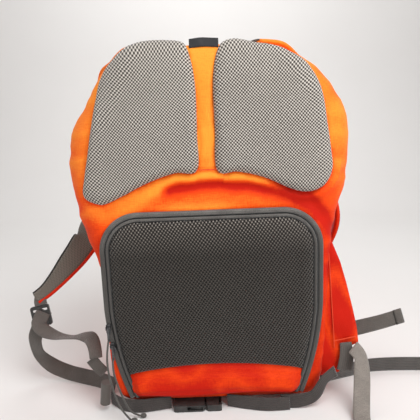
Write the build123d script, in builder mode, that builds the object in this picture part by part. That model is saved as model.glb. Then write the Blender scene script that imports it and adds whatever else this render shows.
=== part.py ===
from build123d import *
import os
from math import cos, pi, radians, sin, tan

# Hiking backpack standing on its base, in millimetres.
# X runs across the pack, +Y runs from the wearer's side to the far side, +Z is up.
# The origin is the middle of the base, on the plane that the pack stands on.

os.makedirs("parts", exist_ok=True)

# ---- driving dimensions ----------------------------------------------------------------
wall = 4                 # lined and padded fabric wall
back_y = -105            # plane of the fabric on the wearer's side
reach = 400              # further than any wall, for cutting blocks
base_top = 25            # the base panel ends here and the back panel begins
side_x = 118             # the side panels begin here
back_cut_y = -68         # the back panel ends here
jamb_top = 322           # the wall beside the door is two strips below this height
fit_gap = 0.6            # room between pieces that move past each other

# Horizontal sections: height, half width, back, front, back corner, front corner.
bag_sections = [
    (0, 146, -78, 84, 30, 40),
    (28, 164, -104, 102, 16, 45),
    (160, 172, -105, 110, 12, 50),
    (290, 194, -105, 114, 34, 60),
    (395, 212, -105, 114, 60, 66),
    (475, 196, -104, 104, 60, 66),
    (528, 152, -95, 82, 50, 60),
    (546, 112, -76, 58, 40, 50),
]
bag_top = bag_sections[-1][0]

divider_z = 320          # padded shelf between the lower and the main compartment
divider_thickness = 6
sheet_thickness = 1.5    # plastic frame sheet behind the upper pads
stay_size = (12, 3, 140)

pad_foam = 9             # foam of the two upper pads
pad_mesh = 3             # spacer mesh over that foam
pad_seam = 4             # the mesh runs past the foam by this much
pad_back_y = -84         # the pads roll over the top edge as far as this

door_top = 316
door_half_width = 164
door_corner = 46
door_foot = 30           # the door is this much narrower at its foot
door_widest_z = 170
door_ring = 8            # zip tape and piping on the bag, round the door
door_gap = 1
door_piping = 4
door_foam = 9
door_mesh = 3
door_seam_z = 70         # the mesh ends and the plain strip begins
trim_thickness = 5

lid_half_width = 66
lid_hinge_y = -28
lid_front_z = 470

strap_thickness = 10
strap_skin = 3           # spacer mesh face of the shoulder straps
webbing_thickness = 1.6
adjuster_width = 25
belt_width = 22

slider_size = (7, 5, 15)
slider_upper = (-159.5, 142)
slider_lower = (-154.5, 112)
slider_lean = 13.5       # the lower slider follows the zip, which leans in to its foot
cord_diameter = 3


# ---- helpers ------------------------------------------------------------------------------
def finish(sub_part, name):
    """Label one finished piece and write it to its own STEP file."""
    sub_part.part.label = name
    export_step(sub_part.part, f"parts/{name}.step")


def bag_form(grow=0):
    """The bag's outer form, grown by a margin on every side but the base."""
    with BuildPart() as form:
        for z, half_width, back, front, back_corner, front_corner in bag_sections:
            level = z + grow * z / bag_top if grow > 0 or z > 0 else z - grow
            with BuildSketch(Plane.XY.offset(level)) as section:
                with Locations((0, (back + front) / 2)):
                    Rectangle(2 * (half_width + grow), front - back + 2 * grow)
                rows = section.vertices().group_by(Axis.Y)
                fillet(rows[0], back_corner + grow)
                rows = section.vertices().group_by(Axis.Y)
                fillet(rows[-1], front_corner + grow)
        loft(ruled=True)
    return form.part


def block(x_range, y_range, z_range):
    """A cutting block between three pairs of planes."""
    ranges = (x_range, y_range, z_range)
    size = [high - low for low, high in ranges]
    middle = [(high + low) / 2 for low, high in ranges]
    return Pos(*middle) * Box(*size)


def plate(sketch, y_outer, y_inner):
    """A sketch of the XZ plane, as a plate between two depths."""
    with BuildPart() as sheet:
        with BuildSketch(Plane.XZ.offset(-y_inner)):
            add(sketch)
        extrude(amount=y_inner - y_outer)
    return sheet.part


def band(stations, thickness, shift=0):
    """A strap through stations, each a centre, the way that its face looks, and a width."""
    centres = [Vector(*centre) for centre, face, width in stations]
    with BuildPart() as strap:
        for i, (centre, face, width) in enumerate(stations):
            along = (centres[min(i + 1, len(centres) - 1)] - centres[max(i - 1, 0)]).normalized()
            across = along.cross(Vector(*face)).normalized()
            outward = across.cross(along)
            with BuildSketch(Plane(origin=centres[i] + outward * shift, x_dir=across, z_dir=along)):
                Rectangle(width, thickness)
        loft(ruled=True)
    return strap


def other_side(stations):
    """The same stations on the other side of the pack."""
    return [((-c[0], c[1], c[2]), (-n[0], n[1], n[2]), width) for c, n, width in stations]


# ---- bag shell, cut into its panels ------------------------------------------------------
outer_form = bag_form()
inner_form = bag_form(grow=-wall)
shell = outer_form - inner_form


def door_outline(inset=0, bottom=base_top):
    """The door's outline: a narrow foot, straight sides and round top corners."""
    half = door_half_width - inset
    top = door_top - inset
    corner = door_corner - inset
    waist = (half - 9, (base_top + door_widest_z) / 2)
    with BuildSketch() as outline:
        with BuildLine():
            right = ThreePointArc((half - door_foot, base_top), waist, (half, door_widest_z))
            up = Line(right @ 1, (half, top - corner))
            turn = RadiusArc(up @ 1, (half - corner, top), -corner)
            over = Line(turn @ 1, (corner - half, top))
            back = RadiusArc(over @ 1, (-half, top - corner), -corner)
            down = Line(back @ 1, (-half, door_widest_z))
            left = ThreePointArc(down @ 1, (-waist[0], waist[1]), (door_foot - half, base_top))
            Line(left @ 1, right @ 0)
        make_face()
        with Locations((0, bottom - reach / 2)):
            Rectangle(2 * reach, reach, mode=Mode.SUBTRACT)
    return outline.sketch


back_zone = block((-reach, reach), (-reach, back_cut_y), (base_top, 2 * reach))
crown_zone = block((-side_x, side_x), (back_cut_y, lid_hinge_y - fit_gap), (500, 2 * reach))
middle_zone = block((-side_x, side_x), (back_cut_y, reach), (base_top, 2 * reach))
lid_zone = block((-lid_half_width, lid_half_width), (lid_hinge_y, reach),
                 (lid_front_z, 2 * reach))
lid_hole = block((-lid_half_width - fit_gap, lid_half_width + fit_gap),
                 (lid_hinge_y - fit_gap, reach), (lid_front_z - fit_gap, 2 * reach))

with BuildPart() as base_panel:
    add(shell)
    split(bisect_by=Plane.XY.offset(base_top), keep=Keep.BOTTOM)
finish(base_panel, "base_panel")

with BuildPart() as back_wall:
    add(shell)
    add(back_zone + crown_zone, mode=Mode.INTERSECT)
    add(plate(door_outline(door_ring), back_y - wall, back_cut_y), mode=Mode.SUBTRACT)

with BuildPart() as back_panel:
    add(back_wall.part)
    split(bisect_by=Plane.XY.offset(jamb_top), keep=Keep.TOP)
finish(back_panel, "back_panel")

for side, name in ((-1, "door_jamb_left"), (1, "door_jamb_right")):
    with BuildPart() as door_jamb:
        add(back_wall.part)
        split(bisect_by=Plane.XY.offset(jamb_top), keep=Keep.BOTTOM)
        split(bisect_by=Plane.YZ, keep=Keep.TOP if side > 0 else Keep.BOTTOM)
    finish(door_jamb, name)

for side, name in ((-1, "side_panel_left"), (1, "side_panel_right")):
    with BuildPart() as side_panel:
        add(shell)
        split(bisect_by=Plane.XY.offset(base_top), keep=Keep.TOP)
        split(bisect_by=Plane(origin=(0, back_cut_y, 0), z_dir=(0, 1, 0)), keep=Keep.TOP)
        split(bisect_by=Plane(origin=(side * side_x, 0, 0), z_dir=(side, 0, 0)), keep=Keep.TOP)
    finish(side_panel, name)

with BuildPart() as front_panel:
    add(shell)
    add(middle_zone, mode=Mode.INTERSECT)
    add(crown_zone + lid_hole, mode=Mode.SUBTRACT)
finish(front_panel, "front_panel")

with BuildPart() as lid_panel:
    add(shell)
    add(lid_zone, mode=Mode.INTERSECT)
finish(lid_panel, "lid_panel")

# ---- what holds the bag's shape -------------------------------------------------------------
divider_top = divider_z + divider_thickness
with BuildPart() as divider:
    add(inner_form)
    add(block((-reach, reach), (-reach, reach), (divider_z, divider_top)), mode=Mode.INTERSECT)
finish(divider, "compartment_divider")

sheet_y = back_y + wall + 2.5
with BuildSketch() as sheet_outline:
    with Locations((0, divider_top + 74)):
        RectangleRounded(230, 146, 25)
with BuildPart() as frame_sheet:
    add(plate(sheet_outline.sketch, sheet_y, sheet_y + sheet_thickness))
finish(frame_sheet, "frame_sheet")

stay_y = sheet_y + sheet_thickness
for stay_x, name in ((-55, "frame_stay_left"), (55, "frame_stay_right")):
    with BuildSketch() as stay_outline:
        with Locations((stay_x, divider_top + 72)):
            SlotOverall(stay_size[2], stay_size[0], rotation=90)
    with BuildPart() as stay:
        add(plate(stay_outline.sketch, stay_y, stay_y + stay_size[1]))
    finish(stay, name)


# ---- upper back pads ---------------------------------------------------------------------------
def pad_outline(side):
    """One upper pad: straight at the spine, round at the top, with a lobe at its foot."""
    with BuildSketch() as outline:
        with BuildLine():
            spine = Line((side * 14, 538), (side * 14, 374))
            foot = ThreePointArc(spine @ 1, (side * 64, 366), (side * 110, 348))
            dip = Line(foot @ 1, (side * 150, 331))
            lobe = ThreePointArc(dip @ 1, (side * 170, 338), (side * 177, 358))
            flank = ThreePointArc(lobe @ 1, (side * 168, 432), (side * 151, 498))
            shoulder = ThreePointArc(flank @ 1, (side * 136, 532), (side * 104, 547))
            crown = ThreePointArc(shoulder @ 1, (side * 62, 552), (side * 28, 551))
            Line(crown @ 1, spine @ 0)
        make_face()
    return outline.sketch


def pad_solid(outline, thickness):
    """The part of a layer over the bag that lies within a pad's outline."""
    layer = plate(outline, back_y - 2 * thickness, pad_back_y) & bag_form(grow=thickness)
    return layer - outer_form


for side, word in ((-1, "left"), (1, "right")):
    with BuildSketch() as foam_outline:
        add(pad_outline(side))
        offset(amount=-pad_seam, kind=Kind.INTERSECTION)
    foam = pad_solid(foam_outline.sketch, pad_foam)
    with BuildPart() as upper_pad_foam:
        add(foam)
    finish(upper_pad_foam, f"upper_pad_foam_{word}")
    with BuildPart() as upper_pad_mesh:
        add(pad_solid(pad_outline(side), pad_foam + pad_mesh))
        add(foam, mode=Mode.SUBTRACT)
    finish(upper_pad_mesh, f"upper_pad_mesh_{word}")

label_plane = Plane(origin=(0, -86.6, 538.2), x_dir=(1, 0, 0), z_dir=(0, -0.69, 0.73))
with BuildPart() as top_label:
    with BuildSketch(label_plane):
        RectangleRounded(24, 13, 1)
    extrude(amount=0.8, both=True)
finish(top_label, "top_label")

# ---- lower door ----------------------------------------------------------------------------------
door_inset = door_ring + door_gap
door_bottom = base_top + door_gap
cover_inset = door_inset + door_piping
trim_y = back_y - trim_thickness

with BuildPart() as door_zip_tape:
    add(plate(door_outline(), trim_y, back_y))
    add(plate(door_outline(door_ring), trim_y - 1, back_y + 1), mode=Mode.SUBTRACT)
finish(door_zip_tape, "door_zip_tape")

with BuildPart() as door_liner:
    add(plate(door_outline(door_inset, door_bottom), back_y, back_y + wall))
finish(door_liner, "door_liner")

with BuildPart() as door_edge_piping:
    add(plate(door_outline(door_inset, door_bottom), trim_y, back_y))
    add(plate(door_outline(cover_inset), trim_y - 1, back_y + 1), mode=Mode.SUBTRACT)
finish(door_edge_piping, "door_edge_piping")

with BuildPart() as door_foam_pad:
    add(plate(door_outline(cover_inset + door_mesh, door_seam_z + door_mesh),
              back_y - door_foam, back_y))
finish(door_foam_pad, "door_foam_pad")

with BuildPart() as door_mesh_cover:
    add(plate(door_outline(cover_inset, door_seam_z), back_y - door_foam - door_mesh, back_y))
    add(door_foam_pad.part, mode=Mode.SUBTRACT)
finish(door_mesh_cover, "door_mesh_cover")

with BuildPart() as door_bottom_strip:
    add(plate(door_outline(cover_inset, door_bottom), trim_y, back_y))
    split(bisect_by=Plane.XY.offset(door_seam_z), keep=Keep.BOTTOM)
finish(door_bottom_strip, "door_bottom_strip")

# ---- zip sliders, pullers and their cords ------------------------------------------------------
slider_y = trim_y - 0.4
bail_z = 2               # the bail stands this far above the slider's middle
puller_head_radius = 1.6
puller_size = (5, 2, 22)


def zip_slider(x, z, lean):
    """A slider on the zip, with a bail on its face that the puller hangs from."""
    width, depth, length = slider_size
    across = (cos(radians(lean)), 0, sin(radians(lean)))
    plane = Plane(origin=(x, slider_y, z), x_dir=across, z_dir=(0, -1, 0))
    with BuildPart() as slider:
        with BuildSketch(plane):
            RectangleRounded(width, length, 2)
        extrude(amount=depth - 2)
        with BuildSketch(plane.offset(depth - 2)):
            with Locations((-3, bail_z), (3, bail_z)):
                Rectangle(1, 5)
        extrude(amount=4)
    return slider


def puller(x, z):
    """A flat tab whose head turns between the cheeks of the bail, with an eye at its foot."""
    pin_y = slider_y - slider_size[1]
    with BuildPart() as tab:
        with BuildSketch(Plane(origin=(x, pin_y, z), x_dir=(0, -1, 0), z_dir=(1, 0, 0))):
            Circle(puller_head_radius)
        extrude(amount=1.6, both=True)
        with BuildSketch(Plane(origin=(x, pin_y - 1.2, z), x_dir=(1, 0, 0), z_dir=(0, -1, 0))):
            with Locations((0, -puller_size[2] / 2)):
                RectangleRounded(puller_size[0] - 1.8, puller_size[2], 1)
        extrude(amount=puller_size[1] / 2, both=True)
    return tab


def pull_cord(points):
    """A limp cord along straight runs joined by the largest arcs that the runs allow."""
    corners = [Vector(*point) for point in points]
    radii = []
    for before, here, after in zip(corners, corners[1:], corners[2:]):
        turn = (here - before).get_angle(after - here)
        shorter = min((here - before).length, (after - here).length)
        radii.append(0.45 * shorter / tan(radians(turn) / 2))
    with BuildPart() as cord:
        with BuildLine() as route:
            FilletPolyline(*points, radius=radii)
        with BuildSketch(Plane(origin=points[0], z_dir=corners[1] - corners[0])):
            Circle(cord_diameter / 2)
        sweep()
    section = pi * cord_diameter ** 2 / 4
    length = sum(edge.length for edge in route.line.edges())
    print("cord length", round(length, 1), "radii", [round(r, 1) for r in radii],
          "volume over section", round(cord.part.volume / section, 1))
    return cord


def knot(centre):
    """A stopper knot at the end of a cord."""
    with BuildPart() as ball:
        with BuildSketch(Plane.XZ.offset(-centre[1])):
            with Locations((centre[0], centre[2])):
                Ellipse(5, 3.6)
            with Locations((centre[0], centre[2] - reach / 2)):
                Rectangle(reach, reach, mode=Mode.SUBTRACT)
        revolve(axis=Axis((centre[0], centre[1], centre[2]), (1, 0, 0)))
    return ball


upper_cord_points = [(-159.5, -118, 126), (-163, -122, 106), (-162, -127, 82), (-157, -129, 57),
                     (-151, -131, 34), (-142, -133, 16), (-131, -136, 5)]
lower_cord_points = [(-155.5, -118, 95), (-156, -120.5, 79), (-152, -121.5, 60), (-146, -122, 41),
                     (-140, -122.5, 23), (-132, -123, 8), (-119, -124, 4)]

for (x, z), lean, points, word in ((slider_upper, 0, upper_cord_points, "upper"),
                                   (slider_lower, slider_lean, lower_cord_points, "lower")):
    finish(zip_slider(x, z, lean), f"zip_slider_{word}")
    lean_x, lean_z = bail_z * sin(radians(lean)), bail_z * cos(radians(lean))
    finish(puller(x - lean_x, z + lean_z), f"zip_puller_{word}")
    finish(pull_cord(points), f"zip_cord_{word}")
    end = points[-1]
    finish(knot((end[0] + 5, end[1], end[2])), f"zip_cord_knot_{word}")

# ---- shoulder straps -----------------------------------------------------------------------------
# Both straps are thrown over the top of the pack and hang down its sides.
strap_top = [
    ((-72, -52, 554), (0, 0, 1), 42),
    ((-98, -37, 554), (0, 0, 1), 44),
    ((-114, -20, 552), (-0.2, 0, 0.98), 45),
    ((-131, 2, 547), (-0.41, 0, 0.91), 45),
    ((-153, 33, 540), (-0.55, 0.15, 0.82), 46),
    ((-168, 66, 519), (-0.6, 0.4, 0.69), 47),
    ((-187, 84, 489), (-0.7, 0.5, 0.5), 48),
    ((-206, 94, 437), (-0.76, 0.6, 0.2), 50),
    ((-208, 96, 382), (-0.8, 0.6, 0), 52),
    ((-211, 60, 322), (-0.95, 0.1, 0), 52),
]
strap_left = strap_top + [
    ((-217, 24, 284), (-0.75, -0.65, 0), 50),
    ((-214, 10, 259), (-0.35, -0.93, 0.1), 48),
    ((-227, 2, 237), (-0.15, -0.98, 0.1), 43),
    ((-245, -4, 215), (0, -0.98, 0.15), 37),
    ((-265, -10, 192), (0.1, -0.95, 0.3), 29),
    ((-284, -15, 173), (0.1, -0.9, 0.4), 23),
    ((-301, -20, 161), (0.1, -0.85, 0.5), 21),
]
strap_right = other_side(strap_top) + [
    ((224, 33, 270), (0.97, -0.2, -0.1), 48),
    ((210, 42, 218), (0.97, -0.2, -0.2), 36),
    ((193, 47, 172), (0.97, -0.2, -0.2), 27),
]
core = strap_thickness - strap_skin
anchor_gap = 0.4

for stations, word in ((strap_left, "left"), (strap_right, "right")):
    side = -1 if word == "left" else 1
    finish(band(stations, core, -strap_skin / 2), f"shoulder_strap_{word}")
    finish(band(stations, strap_skin, core / 2), f"strap_mesh_face_{word}")
    with BuildPart() as strap_anchor:
        with BuildSketch(Plane.XY.offset(bag_top)):
            with Locations((side * 84, -51)):
                RectangleRounded(22, 40, 3)
        extrude(amount=strap_top[0][0][2] - strap_thickness / 2 - anchor_gap - bag_top)
    finish(strap_anchor, f"strap_anchor_{word}")

lock_size = (31, 36, 5)
lock_slot = (25, 4)


def ladder_lock(plane):
    """A ladder lock: a frame with two slots, a raised grip bar and a thumb tab."""
    width, height, depth = lock_size
    with BuildPart() as lock:
        with BuildSketch(plane):
            RectangleRounded(width, height, 4)
            with Locations((0, 10), (0, -1)):
                Rectangle(*lock_slot, mode=Mode.SUBTRACT)
        extrude(amount=depth / 2, both=True)
        with BuildSketch(plane.offset(depth / 2)):
            with Locations((0, -12)):
                RectangleRounded(22, 7, 2)
        extrude(amount=2)
    return lock


lock_left_plane = Plane(origin=(-294, -23, 130), x_dir=(0.98, 0, 0.2), z_dir=(0.1, -0.97, 0.2))
lock_right_plane = Plane(origin=(187, 48, 134), x_dir=(0, 1, 0), z_dir=(1, 0, 0))
finish(ladder_lock(lock_left_plane), "ladder_lock_left")
finish(ladder_lock(lock_right_plane), "ladder_lock_right")

# ---- webbing of the harness ------------------------------------------------------------------------
adjuster_left = [
    ((-304, -18, 108), (0, -1, 0.1), adjuster_width),
    ((-312, -17, 84), (-0.2, -0.97, 0.1), adjuster_width),
    ((-309, -13, 56), (-0.3, -0.85, 0.4), adjuster_width),
    ((-291, -8, 31), (-0.3, -0.7, 0.6), adjuster_width),
    ((-263, -8, 16), (0, -0.75, 0.6), adjuster_width),
    ((-233, -17, 12), (0, -0.85, 0.5), adjuster_width),
    ((-200, -32, 12), (0, -0.9, 0.4), adjuster_width),
    ((-171, -52, 12), (0, -0.9, 0.3), adjuster_width),
]
tail_left = [
    ((-300, -35, 119), (0.3, -0.9, 0.2), 23),
    ((-284, -38, 108), (0.2, -0.85, 0.5), 23),
    ((-262, -47, 103), (0, -0.6, 0.8), 23),
    ((-238, -57, 105), (0, -0.15, 1), 23),
    ((-215, -66, 111), (0.1, -0.5, 0.85), 23),
    ((-198, -78, 112), (0.3, -0.7, 0.6), 23),
    ((-189, -91, 102), (0.6, -0.75, 0.2), 22),
    ((-186, -99, 88), (0.5, -0.85, 0.1), 20),
]
adjuster_right = [
    ((187, 48, 112), (1, 0, 0), adjuster_width),
    ((192, 40, 70), (1, 0, 0), adjuster_width),
    ((184, 20, 34), (1, 0.2, 0), adjuster_width),
    ((172, 0, 16), (1, 0.2, 0), adjuster_width),
]
floor_tail_right = [
    ((176, -48, 13), (0.3, -1, 0), adjuster_width),
    ((229, -31, 13), (0.2, -1, 0), adjuster_width),
    ((266, -19, 13), (0.1, -1, 0), adjuster_width),
    ((316, -17, 13), (0, -1, 0), adjuster_width),
    ((385, -22, 13), (0, -1, 0), adjuster_width),
]
wing_tail_right = [
    ((197, -62, 98), (0, -1, 0), adjuster_width),
    ((228, -64, 105), (0, -1, 0.1), adjuster_width),
    ((266, -67, 115), (0, -1, 0), adjuster_width),
    ((303, -68, 126), (0, -1, 0), adjuster_width),
]
corner_stub_left = [
    ((-177, -90, 58), (0.2, -1, 0), 18),
    ((-186, -92, 70), (0.2, -1, 0), 18),
    ((-195, -93, 84), (0.2, -1, 0), 18),
]
belt_fold_right = [
    ((204, -94, 96), (0, -1, 0), 18),
    ((205, -97, 74), (0, -1, 0.1), 22),
    ((202, -95, 50), (0, -1, -0.1), 24),
]
belt_tail_right = [
    ((213, -102, 92), (0.2, -0.7, 0.7), adjuster_width),
    ((223, -108, 78), (0.4, -0.8, 0.4), adjuster_width),
    ((222, -119, 52), (0, -0.9, 0.4), adjuster_width),
    ((216, -137, 22), (0, -0.8, 0.6), adjuster_width),
    ((211, -154, 4), (0, -0.4, 0.9), adjuster_width),
    ((208, -186, 1), (0, 0, 1), adjuster_width),
]
belt_loop_right = [
    ((98, -112, 12), (0, -1, 0), belt_width),
    ((124, -114, 12), (0, -1, 0.1), belt_width),
    ((150, -116, 22), (0.2, -1, 0.1), 20),
    ((166, -114, 46), (0.4, -1, 0), 18),
    ((186, -104, 54), (0.2, -1, 0.2), 18),
]
belt_left = [
    ((-171, -85, 12), (-0.5, -0.8, 0), belt_width),
    ((-148, -105, 12), (-0.4, -0.9, 0), belt_width),
    ((-122, -112, 12), (0, -1, 0), belt_width),
    ((-98, -109, 12), (0.1, -1, 0), belt_width),
    ((-72, -104, 12), (0, -1, 0), belt_width - 2),
]
belt_right = [
    ((16, -104, 12), (0, -1, 0), belt_width - 2),
    ((42, -112, 12), (0, -1, 0), belt_width),
    ((76, -120, 12), (0, -1, 0), belt_width),
    ((112, -119, 12), (0, -1, 0), belt_width),
]
for stations, name in (
    (adjuster_left, "adjuster_webbing_left"),
    (tail_left, "adjuster_tail_left"),
    (adjuster_right, "adjuster_webbing_right"),
    (floor_tail_right, "adjuster_tail_right"),
    (wing_tail_right, "wing_webbing_right"),
    (corner_stub_left, "corner_webbing_left"),
    (belt_fold_right, "belt_fold_right"),
    (belt_tail_right, "belt_tail_right"),
    (belt_loop_right, "belt_loop_right"),
    (belt_left, "belt_webbing_left"),
    (belt_right, "belt_webbing_right"),
):
    finish(band(stations, webbing_thickness), name)

roll_plane = Plane(origin=(-177, -100, 12), x_dir=(1, 0, 0), z_dir=(0.12, 0, 1))
with BuildPart() as webbing_roll:
    with BuildSketch(roll_plane):
        Circle(8)
    extrude(amount=36)
finish(webbing_roll, "webbing_roll_left")

# ---- side wings of the hip belt -----------------------------------------------------------------
with BuildSketch() as wing_outline:
    with BuildLine():
        Polyline((150, 276), (180, 266), (204, 190), (222, 122), (226, 88), (206, 84), (197, 42),
                 (150, 36), close=True)
    make_face()
with BuildPart() as wing_right:
    add(plate(wing_outline.sketch, -91, -82))
    add(outer_form, mode=Mode.SUBTRACT)
finish(wing_right, "hip_wing_right")

with BuildPart() as wing_left:
    with BuildSketch(Plane.YZ.offset(-186)):
        with BuildLine():
            Polyline((-56, 250), (-56, 52), (30, 96), (34, 140), close=True)
        make_face()
    extrude(amount=40)
    add(outer_form, mode=Mode.SUBTRACT)
finish(wing_left, "hip_wing_left")

# ---- hip belt buckle ------------------------------------------------------------------------------
buckle_y = -102
buckle_z = 5.6
buckle_wall = 2
release_travel = 18
with BuildPart() as buckle_female:
    with BuildSketch(Plane.XY.offset(buckle_z - 5)):
        with Locations((-44, buckle_y)):
            RectangleRounded(48, 26, 4)
    extrude(amount=10)
    with BuildSketch(Plane.XY.offset(buckle_z - 5 + buckle_wall)):
        with Locations((-34, buckle_y)):
            Rectangle(40, 22)
    extrude(amount=10 - 2 * buckle_wall, mode=Mode.SUBTRACT)
    with BuildSketch(Plane.XY.offset(buckle_z - 5 + buckle_wall)):
        with Locations((-35, buckle_y)):
            Rectangle(24, 40)
    extrude(amount=10 - 2 * buckle_wall, mode=Mode.SUBTRACT)
finish(buckle_female, "buckle_female")

with BuildPart() as buckle_male:
    with BuildSketch(Plane.XY.offset(buckle_z - 5)):
        with Locations((-5, buckle_y)):
            RectangleRounded(24, 26, 4)
        with Locations((4, buckle_y)):
            Rectangle(3, 20, mode=Mode.SUBTRACT)
    extrude(amount=10)
    with BuildSketch(Plane.XY.offset(buckle_z - 2)):
        with Locations((-32, buckle_y)):
            Rectangle(34, 5)
    extrude(amount=4)
finish(buckle_male, "buckle_male")

for side, word in ((-1, "near"), (1, "far")):
    with BuildPart() as prong:
        with BuildSketch(Plane.XY.offset(buckle_z - 2)):
            with BuildLine():
                Polyline((-17.6, buckle_y + side * 5), (-17.6, buckle_y + side * 9),
                         (-30, buckle_y + side * 11.35), (-42, buckle_y + side * 9),
                         (-42, buckle_y + side * 6.5), (-30, buckle_y + side * 7.5), close=True)
            make_face()
        extrude(amount=4)
    finish(prong, f"buckle_prong_{word}")

# ---- haul loop ------------------------------------------------------------------------------------
with BuildPart() as haul_loop:
    with BuildSketch(Plane.XY.offset(bag_top + 1)):
        with Locations((0, -52)):
            RectangleRounded(96, 42, 10)
        with Locations((0, -60)):
            RectangleRounded(60, 34, 8, mode=Mode.SUBTRACT)
    extrude(amount=4)
finish(haul_loop, "haul_loop")
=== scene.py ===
import itertools
import math

import bmesh
import bpy
from mathutils import Matrix, Vector, noise


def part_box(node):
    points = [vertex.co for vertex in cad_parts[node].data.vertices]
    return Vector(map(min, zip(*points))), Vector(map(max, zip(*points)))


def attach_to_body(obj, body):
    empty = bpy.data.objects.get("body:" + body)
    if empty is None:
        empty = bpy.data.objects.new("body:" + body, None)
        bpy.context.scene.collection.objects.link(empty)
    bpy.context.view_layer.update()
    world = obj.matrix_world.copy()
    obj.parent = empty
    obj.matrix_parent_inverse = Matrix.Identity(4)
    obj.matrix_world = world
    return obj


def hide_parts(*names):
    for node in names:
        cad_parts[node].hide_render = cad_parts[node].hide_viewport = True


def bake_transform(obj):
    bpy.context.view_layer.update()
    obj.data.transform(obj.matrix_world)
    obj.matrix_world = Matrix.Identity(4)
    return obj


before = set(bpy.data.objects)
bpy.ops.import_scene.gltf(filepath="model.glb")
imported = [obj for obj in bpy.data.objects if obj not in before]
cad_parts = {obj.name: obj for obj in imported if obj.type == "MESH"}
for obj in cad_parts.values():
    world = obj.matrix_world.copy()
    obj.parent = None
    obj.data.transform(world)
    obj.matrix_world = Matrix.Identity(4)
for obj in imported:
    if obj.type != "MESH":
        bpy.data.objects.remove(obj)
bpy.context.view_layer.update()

MM = 0.001
UP = Vector((0, 0, 1))

# ---- camera, light and floor ----
CAMERA_PLACE = (0.0, -0.75, 0.43)
CAMERA_PITCH = 10.0
CAMERA_ROLL = -2.2
CAMERA_LENS = 38.6


def make_camera():
    data = bpy.data.cameras.new("camera")
    data.lens = CAMERA_LENS
    data.clip_start = 0.02
    camera = bpy.data.objects.new("camera", data)
    tilt = Matrix.Rotation(math.radians(90 - CAMERA_PITCH), 4, "X")
    roll = Matrix.Rotation(math.radians(CAMERA_ROLL), 4, "Z")
    camera.matrix_world = Matrix.Translation(CAMERA_PLACE) @ tilt @ roll
    bpy.context.scene.collection.objects.link(camera)
    bpy.context.scene.camera = camera


def area_light(name, place, aim, size, power):
    data = bpy.data.lights.new(name, "AREA")
    data.shape = "DISK"
    data.size = size
    data.energy = power
    light = bpy.data.objects.new(name, data)
    light.location = place
    light.rotation_euler = (Vector(aim) - Vector(place)).to_track_quat("-Z", "Y").to_euler()
    bpy.context.scene.collection.objects.link(light)


LIGHTS = (          # name, place, aim, size, power
    ("top_softbox", (0.45, -0.75, 1.4), (0, 0.0, 0.3), 0.9, 15),
    ("front_fill", (1.0, -1.4, 0.7), (0, 0, 0.25), 1.1, 11),
    ("left_fill", (-1.4, -0.6, 0.8), (0, 0, 0.25), 1.0, 4.2),
    ("wall_light", (0, 1.2, 2.0), (0, 2.2, 0.55), 1.6, 17),
)
WORLD_COLOUR, WORLD_STRENGTH = (1.0, 0.985, 0.965, 1), 0.5


def make_lights():
    for light in LIGHTS:
        area_light(*light)
    world = bpy.data.worlds.new("world")
    world.use_nodes = True
    background = world.node_tree.nodes["Background"]
    background.inputs["Color"].default_value = WORLD_COLOUR
    background.inputs["Strength"].default_value = WORLD_STRENGTH
    bpy.context.scene.world = world
    bpy.context.scene.view_settings.view_transform = "Standard"


# ---- small tools ----
def lerp(a, b, t):
    return a + (b - a) * t


def smooth(t):
    t = min(max(t, 0.0), 1.0)
    return t * t * (3 - 2 * t)


def catmull(values, t):
    """A value along a list, at a fractional index, on a Catmull-Rom curve."""
    last = len(values) - 1
    i = min(max(int(math.floor(t)), 0), last - 1)
    f = t - i
    p0, p1 = values[max(i - 1, 0)], values[i]
    p2, p3 = values[i + 1], values[min(i + 2, last)]
    return 0.5 * (2 * p1 + (p2 - p0) * f + (2 * p0 - 5 * p1 + 4 * p2 - p3) * f * f
                  + (3 * p1 - p0 - 3 * p2 + p3) * f ** 3)


def link_mesh(mesh, *materials):
    """A smooth-shaded object for a mesh."""
    for material in materials:
        mesh.materials.append(material)
    for polygon in mesh.polygons:
        polygon.use_smooth = True
    obj = bpy.data.objects.new(mesh.name, mesh)
    bpy.context.scene.collection.objects.link(obj)
    return obj


def add_object(name, verts, faces, material, uvs=None):
    """An object from points and faces; uvs holds one pair for each vertex."""
    mesh = bpy.data.meshes.new(name)
    mesh.from_pydata([tuple(v) for v in verts], [], faces)
    mesh.update()
    if uvs:
        layer = mesh.uv_layers.new(name="UVMap")
        for loop in mesh.loops:
            layer.data[loop.index].uv = uvs[loop.vertex_index]
    return link_mesh(mesh, material)


def grid_faces(rows, columns, wrap=False):
    """Quads over rows of points; wrap joins the last column to the first."""
    faces = []
    for r in range(rows - 1):
        for c in range(columns if wrap else columns - 1):
            d = (c + 1) % columns
            faces.append((r * columns + c, r * columns + d, (r + 1) * columns + d, (r + 1) * columns + c))
    return faces


def capped_grid(rows, columns):
    """The faces of a closed tube: its wall and its two ends."""
    ends = [tuple(range(columns))[::-1], tuple((rows - 1) * columns + c for c in range(columns))]
    return grid_faces(rows, columns, wrap=True) + ends


def resample(points, step, closed=False):
    """Points evenly spaced along a polyline."""
    pts = [Vector(p) for p in points]
    if closed:
        pts.append(pts[0])
    lengths = [0.0]
    for a, b in zip(pts, pts[1:]):
        lengths.append(lengths[-1] + (b - a).length)
    count = max(int(round(lengths[-1] / step)), 2)
    out, i = [], 0
    for k in range(count if closed else count + 1):
        s = lengths[-1] * k / count
        while i < len(pts) - 2 and lengths[i + 1] < s:
            i += 1
        span = lengths[i + 1] - lengths[i]
        out.append(pts[i].lerp(pts[i + 1], (s - lengths[i]) / span if span else 0))
    return out


BACKWARDS = Vector((0, -1, 0))


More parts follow.
